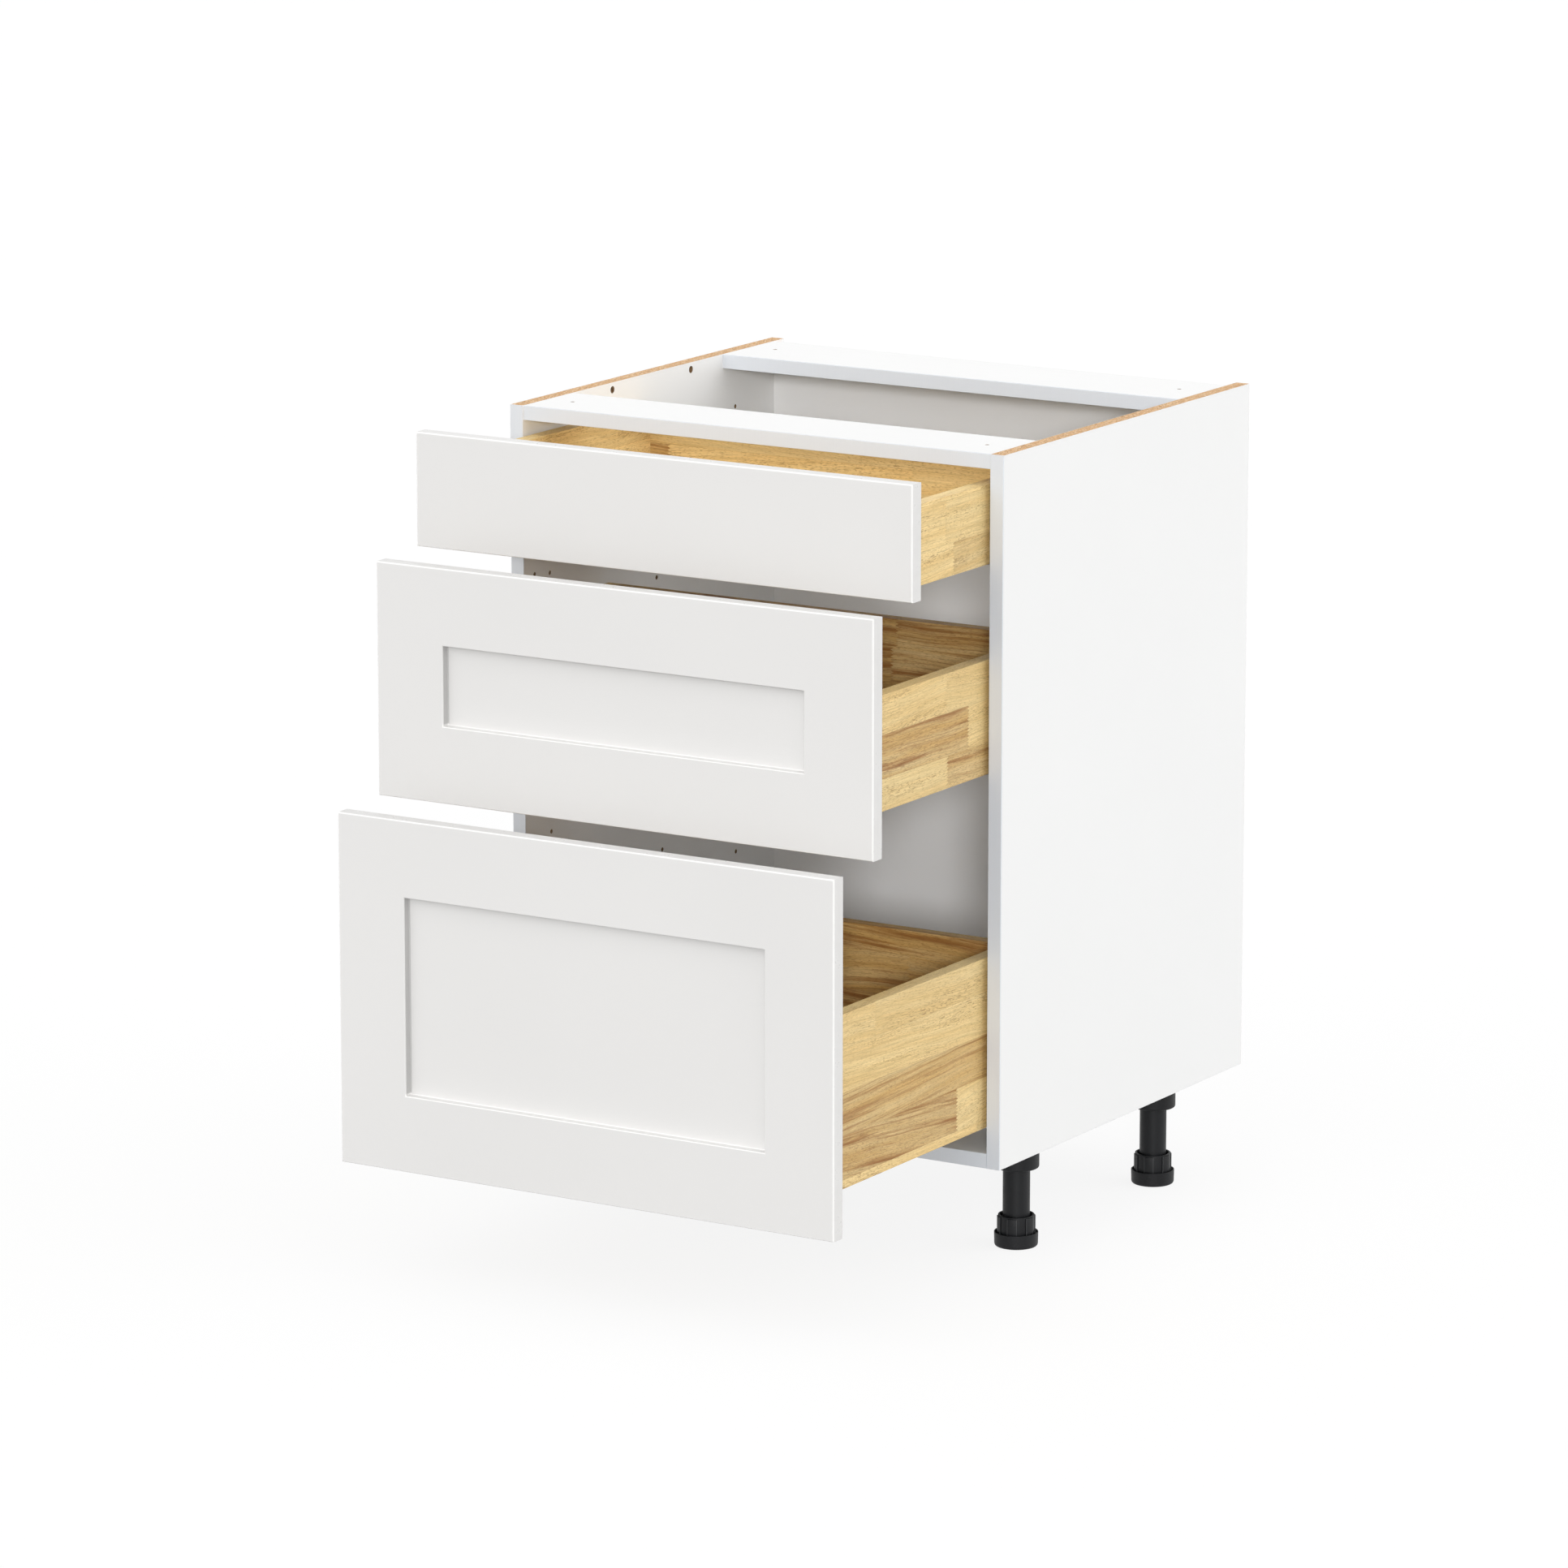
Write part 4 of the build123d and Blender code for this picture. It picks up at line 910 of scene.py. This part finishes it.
def solids_of(node):
    """The lowest and highest corner of every separate solid in a CAD node."""
    shape = bmesh.new()
    shape.from_mesh(NODES[node].data)
    bmesh.ops.remove_doubles(shape, verts=shape.verts, dist=MERGE_DISTANCE)
    left = set(shape.verts)
    boxes = []
    while left:
        start = left.pop()
        solid, edge = [start], [start]
        while edge:
            vertex = edge.pop()
            for link in vertex.link_edges:
                other = link.other_vert(vertex)
                if other in left:
                    left.remove(other)
                    solid.append(other)
                    edge.append(other)
        boxes.append(tuple(
            Vector([limit(point.co[axis] for point in solid) for axis in range(3)]) for limit in (min, max)
        ))
    shape.free()
    return sorted(boxes, key=lambda box: tuple(round(place, 4) for place in box[0]))


# ---------------------------------------------------------------------------------------------------------
# Geometry node trees
# ---------------------------------------------------------------------------------------------------------


class Geometry(Nodes):
    """A geometry node tree with named inputs, which ends in real geometry with one material."""

    def __init__(self, name, **inputs):
        super().__init__(bpy.data.node_groups.new(name, "GeometryNodeTree"))
        add_sockets(self.tree, "INPUT", {"Geometry": "Geometry", **inputs, "Material": "Material"})
        add_sockets(self.tree, "OUTPUT", {"Geometry": "Geometry"})
        self.source = self.add("NodeGroupInput").outputs
        self.result = self.add("NodeGroupOutput")

    def given(self, *names):
        """The tree's inputs of these names."""
        return [self.source[name] for name in names]

    def run(self, kind, settings=None, **values):
        """The first output of a new node."""
        return self.name(self.add("GeometryNode" + kind, **(settings or {})), **values).outputs[0]

    def moved(self, geometry, place):
        return self.run("Transform", Geometry=geometry, Translation=place)

    def raised(self, geometry, height):
        return self.moved(geometry, self.join(0.0, 0.0, height))

    def swept(self, curve, section):
        return self.run("CurveToMesh", Curve=curve, Profile_Curve=section, Fill_Caps=True)

    def wound(self, radius, pitch, height, ridge, turn_steps, sides):
        """A thread wound upwards from nought, with a ridge of so many sides."""
        path = self.minus(radius, ridge)
        spiral = self.run(
            "CurveSpiral", Resolution=turn_steps, Rotations=self.over(height, pitch), Start_Radius=path,
            End_Radius=path, Height=height,
        )
        return self.swept(spiral, self.run("CurvePrimitiveCircle", Resolution=sides, Radius=ridge))

    def joined(self, *parts):
        node = self.add("GeometryNodeJoinGeometry")
        for part in parts:
            self.feed(node.inputs[0], part)
        return node.outputs[0]

    def finish(self, geometry):
        real = self.run("RealizeInstances", Geometry=geometry)
        self.fill(self.result, self.run("SetMaterial", Geometry=real, Material=self.source["Material"]))
        return self.tree


def apply_tree(piece, tree, material, **values):
    """Runs a geometry node tree on a piece and keeps what it makes as a plain mesh."""
    modifier = piece.modifiers.new(tree.name, "NODES")
    modifier.node_group = tree
    named = {name.replace("_", " "): value for name, value in values.items()}
    named["Material"] = material
    for item in tree.interface.items_tree:
        if item.item_type == "SOCKET" and item.in_out == "INPUT" and item.name in named:
            value = named.pop(item.name)
            modifier[item.identifier] = tuple(value) if isinstance(value, Vector) else value
    if named:
        raise RuntimeError(f"the tree {tree.name} has no input named {sorted(named)}")
    return settle(piece)


def leg_grid_tree():
    """Sets one leg piece at the four corners of a grid."""
    tree = Geometry("leg_grid", Spacing_X="Float", Spacing_Y="Float", Centre="Vector")
    piece, spacing_x, spacing_y, centre = tree.given("Geometry", "Spacing X", "Spacing Y", "Centre")
    grid = tree.run("MeshGrid", Size_X=spacing_x, Size_Y=spacing_y, Vertices_X=2, Vertices_Y=2)
    return tree.finish(tree.run("InstanceOnPoints", Points=tree.moved(grid, centre), Instance=piece))


def lug_ring_tree():
    """Adds a ring of grip lugs to a turned collar."""
    tree = Geometry(
        "lug_ring", Count="Int", Inner_Radius="Float", Outer_Radius="Float", Height="Float", Bottom="Float",
        Phase="Float", Ease="Float",
    )
    collar, count, inner, outer = tree.given("Geometry", "Count", "Inner Radius", "Outer Radius")
    height, bottom, phase, ease = tree.given("Height", "Bottom", "Phase", "Ease")
    pitch = tree.over(2 * math.pi, count)
    half_pitch = tree.over(pitch, 2.0)
    mid_radius = tree.over(tree.plus(outer, inner), 2.0)
    arc = tree.run("CurveArc", Resolution=14, Radius=mid_radius, Start_Angle=0.0, Sweep_Angle=half_pitch)
    section = tree.run("CurvePrimitiveQuadrilateral", Width=tree.minus(outer, inner), Height=height)
    eased = tree.run(
        "FilletCurve", {"mode": "POLY"}, Curve=section, Count=3, Radius=ease, Limit_Radius=True
    )
    lug = tree.raised(tree.swept(arc, eased), tree.plus(bottom, tree.over(height, 2.0)))
    index = tree.add("GeometryNodeInputIndex").outputs[0]
    turn = tree.plus(phase, half_pitch, tree.times(index, pitch))
    ring = tree.run(
        "InstanceOnPoints", Points=tree.run("Points", Count=count), Instance=lug,
        Rotation=tree.join(0.0, 0.0, turn),
    )
    return tree.finish(tree.joined(collar, ring))


def spindle_tree():
    """Winds a coarse round thread on a collar's upright spindle and sets the whole in its place."""
    tree = Geometry(
        "spindle_thread", Radius="Float", Pitch="Float", Bottom="Float", Top="Float", Centre="Vector"
    )
    collar, radius, pitch, bottom, top, centre = tree.given(
        "Geometry", "Radius", "Pitch", "Bottom", "Top", "Centre"
    )
    thread = tree.wound(radius, pitch, tree.minus(top, bottom), tree.times(pitch, 0.22), 28, 6)
    return tree.finish(tree.moved(tree.joined(collar, tree.raised(thread, bottom)), centre))


def screw_tree(name):
    """A pan head screw with a cross recess and a thread, driven along the direction of each point."""
    tree = Geometry(
        name, Head_Radius="Float", Head_Height="Float", Thread_Radius="Float", Length="Float", Pitch="Float"
    )
    points, head_radius, head_height = tree.given("Geometry", "Head Radius", "Head Height")
    thread_radius, full_length, pitch = tree.given("Thread Radius", "Length", "Pitch")
    times = tree.times

    def cone(low_radius, high_radius, low, high, sides):
        """A cone or drum from one height to another."""
        made = tree.run(
            "MeshCone", Vertices=sides, Radius_Bottom=low_radius, Radius_Top=high_radius,
            Depth=tree.minus(high, low),
        )
        return tree.raised(made, low)

    top, shoulder = times(head_height, -1.0), times(head_height, -SHOULDER_HEIGHT)
    crown_radius, shoulder_radius = times(head_radius, CROWN_RADIUS), times(head_radius, SHOULDER_RADIUS)
    crown = cone(crown_radius, shoulder_radius, top, shoulder, 28)
    rim = cone(shoulder_radius, head_radius, shoulder, 0.0, 28)
    bars = []
    for x, y in ((RECESS_LENGTH, RECESS_WIDTH), (RECESS_WIDTH, RECESS_LENGTH)):
        size = tree.join(times(head_radius, x), times(head_radius, y), times(head_height, RECESS_DEPTH))
        bars.append(tree.raised(tree.run("MeshCube", Size=size), top))
    head = []
    for part in (crown, rim):
        cut = tree.add("GeometryNodeMeshBoolean", operation="DIFFERENCE")
        tree.feed(cut.inputs["Mesh 1"], part)
        for bar in bars:
            tree.feed(cut.inputs["Mesh 2"], bar)
        head.append(cut.outputs[0])

    core, neck = times(thread_radius, CORE_RADIUS), times(full_length, NECK_LENGTH)
    shank = cone(core, core, 0.0, neck, 16)
    tip = cone(core, 0.0, neck, full_length, 16)
    thread = tree.wound(thread_radius, pitch, neck, times(thread_radius, RIDGE_RADIUS), 14, 3)
    screw = tree.joined(*head, shank, tip, thread)

    drive = tree.name(tree.add("GeometryNodeInputNamedAttribute", data_type="FLOAT_VECTOR"), Name="drive")
    aim = tree.name(
        tree.add("FunctionNodeAlignRotationToVector", axis="Z"), Vector=drive.outputs["Attribute"]
    )
    return tree.finish(tree.run("InstanceOnPoints", Points=points, Instance=screw, Rotation=aim.outputs[0]))


def driven_screws(node, body, toward, size, material, sizes):
    """Detailed screws in the places of a CAD node's screws. Toward gives the way each one is driven."""
    name = node.replace("_screws", "_fixing_screws")
    thread_radius, full_length, head_radius, head_height = size
    seats, drives = [], []
    for low, high in solids_of(node):
        way = toward(low)
        axis = max(range(3), key=lambda index: abs(way[index]))
        seat = middle(low, high)
        seat[axis] = low[axis] + head_height if way[axis] > 0 else high[axis] - head_height
        seats.append(tuple(seat))
        drives.append(way)
    mesh = bpy.data.meshes.new(name)
    mesh.from_pydata(seats, [], [])
    drive = mesh.attributes.new("drive", "FLOAT_VECTOR", "POINT")
    for entry, way in zip(drive.data, drives):
        entry.vector = way
    piece = new_object(name, mesh)
    tree = made_once("driven_screws", screw_tree)
    apply_tree(
        piece, tree, material, Head_Radius=head_radius, Head_Height=head_height,
        Thread_Radius=thread_radius, Length=full_length, Pitch=sizes.thread_pitch,
    )
    piece.data.shade_smooth()
    piece.data.set_sharp_from_angle(angle=SCREW_ANGLE)
    stand_for(piece, node, body, "screw_steel")


# ---------------------------------------------------------------------------------------------------------
# Operators
# ---------------------------------------------------------------------------------------------------------


def dress(node, material):
    """Gives a CAD node its finish."""
    paint_all(NODES[node], material)


def socket_section(sizes):
    """The outline of a leg socket, from its bore out and up to its flange."""
    seat, ceiling, bore_top = SOCKETS_LOW.z, SOCKETS_HIGH.z, TUBES_HIGH.z
    bore, outside, flange = sizes.tube_radius + TURNING_FIT, sizes.socket_radius, sizes.flange_radius
    under_flange = ceiling - sizes.flange_thickness
    return eased_corners([
        (bore, seat, 0.0004), (outside, seat, 0.0025), (outside, under_flange, 0.0012),
        (flange, under_flange, 0.0006), (flange, ceiling, 0.0003), (0, ceiling, 0), (0, bore_top, 0),
        (bore, bore_top, 0),
    ])


def tube_section(sizes):
    """The outline of a leg tube, with the nut in its foot."""
    bottom, top = TUBES_LOW.z, TUBES_HIGH.z
    inner = sizes.tube_radius - sizes.tube_wall
    nut_bore, nut_top = sizes.spindle_radius + TURNING_FIT, bottom + NUT_LENGTH
    return eased_corners([
        (nut_bore, bottom, 0), (sizes.tube_radius, bottom, 0.0006), (sizes.tube_radius, top, 0.0005),
        (inner, top, 0.0003), (inner, nut_top, 0), (nut_bore, nut_top, 0),
    ])


def pad_section(radius, top, sizes):
    """The outline of a foot pad, with the seat of the collar's pin."""
    rim_bore, pin_bore = radius - sizes.pad_rim_wall, PIVOT_RADIUS + TURNING_FIT
    return eased_corners([
        (0, 0, 0), (radius - 0.0004, 0, 0.0034), (radius, top, 0.0006), (rim_bore, top, 0.0004),
        (rim_bore, sizes.pad_floor, 0.0006), (pin_bore, sizes.pad_floor, 0), (pin_bore, PIVOT_SEAT, 0),
        (0, PIVOT_SEAT, 0),
    ], 6)


def collar_section(low, high, sizes):
    """The outline of a collar without its lugs, from its pin out to its wall and in to its spindle."""
    bottom, core, bore = sizes.collar_bottom, sizes.collar_core, sizes.collar_bore
    top, web_top = bottom + sizes.collar_height, bottom + COLLAR_WEB
    spindle_core = sizes.spindle_radius - SPINDLE_THREAD_DEPTH
    return eased_corners([
        (0, low.z, 0), (PIVOT_RADIUS, low.z, 0.0004), (PIVOT_RADIUS, bottom, 0), (core, bottom, 0.0005),
        (core, top, 0.0006), (bore, top, 0.0006), (bore, web_top, 0.0008), (spindle_core, web_top, 0),
        (spindle_core, high.z, 0.0008), (0, high.z, 0),
    ])


class Step:
    """Runs the make method of an operator with the scene's colours and sizes."""

    def execute(self, context):
        scene = context.scene
        self.make(scene, scene.cabinet_colours, scene.cabinet_sizes)
        return {"FINISHED"}


class CABINET_OT_stage(Step, bpy.types.Operator):
    """Floor, soft lights, pale surroundings and the camera"""

    bl_idname = "cabinet.stage"
    bl_label = "Studio"

    def make(self, scene, colours, sizes):
        studio = scene.cabinet_studio
        mesh = bpy.data.meshes.new("studio_floor")
        corners = [(x * FLOOR_REACH, y * FLOOR_REACH, 0) for x, y in ((-1, -1), (1, -1), (1, 1), (-1, 1))]
        mesh.from_pydata(corners, [], [(0, 1, 2, 3)])
        floor = new_object("studio_floor", mesh)
        paint_all(floor, studio_floor("studio_floor", colours, studio))

        for name, strength, softness, towards in (
            ("key_light", studio.key, studio.softness, KEY_SHINES),
            ("side_light", studio.side, studio.softness, SIDE_SHINES),
            ("fill_light", studio.fill, studio.fill_softness, FILL_SHINES),
        ):
            lamp = bpy.data.lights.new(name, "SUN")
            lamp.energy = strength
            lamp.angle = softness
            light = new_object(name, lamp)
            light.rotation_euler = Vector(towards).to_track_quat("-Z", "Y").to_euler()

        world = bpy.data.worlds.new("pale_studio")
        world.use_nodes = True
        nodes = Nodes(world.node_tree)
        nodes.tree.nodes.clear()
        even = nodes.white("ShaderNodeBackground", studio.sky)
        white = nodes.white("ShaderNodeBackground", 1.0)
        nodes.fill(nodes.add("ShaderNodeOutputWorld"), nodes.faded(seen_directly(nodes), even, white))
        scene.world = world

        lens = bpy.data.cameras.new("photo_camera")
        lens.lens = studio.lens
        lens.sensor_width = SENSOR_WIDTH
        lens.clip_end = CAMERA_REACH
        camera = new_object("photo_camera", lens)
        camera.location = studio.camera_place
        sight = Vector(studio.camera_target) - Vector(studio.camera_place)
        camera.rotation_euler = sight.to_track_quat("-Z", "Y").to_euler()
        scene.camera = camera
        scene.view_settings.view_transform = "Standard"


class CABINET_OT_carcass(Step, bpy.types.Operator):
    """Foiled chipboard sides, bottom, rails and back, and their edge bands"""

    bl_idname = "cabinet.carcass"
    bl_label = "Carcass boards"

    def make(self, scene, colours, sizes):
        for node, through in (
            ("side_panel_left", 0), ("side_panel_right", 0), ("bottom_panel", 2),
            ("front_top_rail", 2), ("rear_top_rail", 2), ("back_panel", 1),
        ):
            low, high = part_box(node)
            covered = [(1, low.y)] if through != 1 else []
            if node in ("front_top_rail", "rear_top_rail"):
                covered.append((1, high.y))
            white = colours.back if node == "back_panel" else colours.foil
            material = foil_board(node + "_foil", node, through, covered, white, colours, sizes)
            eased_board(node, node + "_board", "carcass", sizes.board_ease, material, "white_board")
        dress("front_edge_bands", plastic_band("white_edge_band", colours))


class CABINET_OT_fronts(Step, bpy.types.Operator):
    """Painted drawer fronts: a plain upper one and two with a sunk field"""

    bl_idname = "cabinet.fronts"
    bl_label = "Drawer fronts"

    def make(self, scene, colours, sizes):
        for drawer in DRAWERS:
            node, name = drawer + "_drawer_front", drawer + "_front"
            framed = drawer != "upper"
            low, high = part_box(node)
            front = mitred_front(name, low, high, front_section(high.y - low.y, framed, sizes))
            weigh_normals(front)
            paint_all(front, sprayed_paint(name + "_paint", node, framed, colours, sizes))
            stand_for(front, node, drawer + "_drawer", "painted_front")


class CABINET_OT_boxes(Step, bpy.types.Operator):
    """Drawer boxes of finger jointed rubberwood, and the beech dowels"""

    bl_idname = "cabinet.boxes"
    bl_label = "Drawer boxes"

    def make(self, scene, colours, sizes):
        boards = (
            ("box_side_left", (1, 2, 0)), ("box_side_right", (1, 2, 0)), ("box_front", (0, 2, 1)),
            ("box_back", (0, 2, 1)), ("box_bottom", (0, 1, 2)),
        )
        beech = dowel_beech("beech_dowels", colours)
        for number, drawer in enumerate(DRAWERS):
            body = drawer + "_drawer"
            for place, (board, order) in enumerate(boards):
                node = drawer + "_" + board
                # Painted shade: the backs of the centre and lower boxes are moved towards brown
                shade_browning = BACK_SHADE_BROWNING if board == "box_back" and drawer != "upper" else 0.0
                staves = CHOSEN_STAVES.get(node, len(boards) * number + place + 1)
                material = oiled_wood(node + "_wood", order, staves, shade_browning, colours, sizes)
                eased_board(node, node + "_board", body, sizes.box_ease, material, "drawer_wood")
            dress(drawer + "_box_dowels", beech)
        dress("carcass_dowels", beech)


class CABINET_OT_legs(Step, bpy.types.Operator):
    """Moulded legs: sockets, tubes, lugged collars on threaded spindles, and foot pads"""

    bl_idname = "cabinet.legs"
    bl_label = "Legs"

    def make(self, scene, colours, sizes):
        plastic = moulded_plastic("black_leg_plastic", colours.plastic, LEG_SCUFF, colours)
        spacing = REAR_RIGHT_LEG - FRONT_LEFT_LEG
        centre = middle(FRONT_LEFT_LEG, REAR_RIGHT_LEG)
        centre.z = 0
        grid, lugs, thread = leg_grid_tree(), lug_ring_tree(), spindle_tree()
        for node, name, section, segments in (
            ("leg_sockets", "leg_socket_shells", socket_section(sizes), ROUND_SEGMENTS),
            ("leg_tubes", "leg_tube_shells", tube_section(sizes), TUBE_SEGMENTS),
        ):
            piece = turned(name, section, segments)
            apply_tree(
                piece, grid, plastic, Spacing_X=abs(spacing.x), Spacing_Y=abs(spacing.y), Centre=centre
            )
            weigh_normals(piece)
            stand_for(piece, node, "carcass", "black_plastic")

        for corner in CORNERS:
            pad_node, collar_node = "foot_pad_" + corner, "foot_collar_" + corner
            low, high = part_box(pad_node)
            foot = middle(low, high)
            foot.z = 0
            radius = (high.x - low.x) / 2
            pad = turned("pad_" + corner, pad_section(radius, high.z, sizes), ROUND_SEGMENTS, foot)
            weigh_normals(pad)
            paint_all(pad, plastic)
            stand_for(pad, pad_node, "foot_" + corner, "black_plastic")

            low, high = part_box(collar_node)
            bottom = sizes.collar_bottom
            lug_height = sizes.collar_height - sizes.lug_drop - 2 * LUG_LIFT
            collar = turned("collar_" + corner, collar_section(low, high, sizes), ROUND_SEGMENTS)
            name = "black_collar_plastic_" + corner
            grip = moulded_plastic(name, colours.plastic, LEG_SCUFF, colours, (foot, sizes))
            apply_tree(
                collar, lugs, grip, Count=sizes.lug_count, Inner_Radius=sizes.collar_core - LUG_ROOT,
                Outer_Radius=(high.x - low.x) / 2, Height=lug_height, Bottom=bottom + LUG_LIFT,
                Phase=sizes.lug_phase, Ease=LUG_EASE,
            )
            apply_tree(
                collar, thread, grip, Radius=sizes.spindle_radius, Pitch=sizes.spindle_pitch,
                Bottom=bottom + COLLAR_WEB + THREAD_START, Top=high.z - THREAD_STOP, Centre=foot,
            )
            collar.data.shade_smooth()
            collar.data.set_sharp_from_angle(angle=COLLAR_ANGLE)
            stand_for(collar, collar_node, "collar_" + corner, "black_plastic")


class CABINET_OT_runners(Step, bpy.types.Operator):
    """Plated runner rails and the clips that hold the boxes on them"""

    bl_idname = "cabinet.runners"
    bl_label = "Runners"

    def make(self, scene, colours, sizes):
        steel = rolled_steel("rolled_zinc_steel", colours)
        clip = moulded_plastic("clip_plastic", colours.clip, 0.0, colours)
        for drawer in DRAWERS:
            links, box = drawer + "_links", drawer + "_drawer"
            for part, suffix, body, material, slot in (
                ("cabinet_rails", "_sheet", "carcass", steel, "zinc_steel"),
                ("link_rails", "_sheet", links, steel, "zinc_steel"),
                ("drawer_rails", "_sheet", box, steel, "zinc_steel"),
                ("front_clips", "_moulding", box, clip, "clip_plastic"),
            ):
                node = drawer + "_" + part
                eased_board(node, node + suffix, body, sizes.metal_ease, material, slot)


class CABINET_OT_fittings(Step, bpy.types.Operator):
    """Cams, cam bolts and all the screws"""

    bl_idname = "cabinet.fittings"
    bl_label = "Cams and screws"

    def make(self, scene, colours, sizes):
        alloy = plated_metal("cast_zinc_alloy", colours.alloy, 0.36)
        bright = plated_metal("bright_screw_steel", colours.screw, 0.24)
        eased_board("cam_locks", "cam_lock_castings", "carcass", CAM_EASE, alloy, "zinc_alloy")
        dress("cam_bolts", bright)
        screws = [
            ("runner_screws", "carcass", lambda low: (math.copysign(1.0, low.x), 0.0, 0.0), RUNNER_SCREW),
            ("leg_screws", "carcass", lambda low: (0.0, 0.0, 1.0), LEG_SCREW),
        ]
        for drawer in DRAWERS:
            screws.append(
                (drawer + "_front_screws", drawer + "_drawer", lambda low: (0.0, -1.0, 0.0), FRONT_SCREW)
            )
        for node, body, toward, size in screws:
            driven_screws(node, body, toward, size, bright, sizes)


OPERATORS = (
    CABINET_OT_stage, CABINET_OT_carcass, CABINET_OT_fronts, CABINET_OT_boxes, CABINET_OT_legs,
    CABINET_OT_runners, CABINET_OT_fittings,
)


class CABINET_PT_panel(bpy.types.Panel):
    """Steps that dress the cabinet"""

    bl_label = "Base cabinet"
    bl_idname = "CABINET_PT_panel"
    bl_space_type = "VIEW_3D"
    bl_region_type = "UI"
    bl_category = "Cabinet"

    def draw(self, context):
        for operator in OPERATORS:
            self.layout.operator(operator.bl_idname)
        scene = context.scene
        for settings in (scene.cabinet_sizes, scene.cabinet_colours, scene.cabinet_studio):
            column = self.layout.column(align=True)
            for name in settings.bl_rna.properties.keys():
                if name not in ("rna_type", "name"):
                    column.prop(settings, name)


CLASSES = (CabinetColours, CabinetSizes, StudioSettings, *OPERATORS, CABINET_PT_panel)


def register():
    for entry in CLASSES:
        bpy.utils.register_class(entry)
    bpy.types.Scene.cabinet_colours = PointerProperty(type=CabinetColours)
    bpy.types.Scene.cabinet_sizes = PointerProperty(type=CabinetSizes)
    bpy.types.Scene.cabinet_studio = PointerProperty(type=StudioSettings)


def unregister():
    del bpy.types.Scene.cabinet_studio
    del bpy.types.Scene.cabinet_sizes
    del bpy.types.Scene.cabinet_colours
    for entry in reversed(CLASSES):
        bpy.utils.unregister_class(entry)


def main():
    register()
    bpy.ops.cabinet.stage()
    bpy.ops.cabinet.carcass()
    bpy.ops.cabinet.fronts()
    bpy.ops.cabinet.boxes()
    bpy.ops.cabinet.legs()
    bpy.ops.cabinet.runners()
    bpy.ops.cabinet.fittings()


if __name__ == "__main__":
    main()
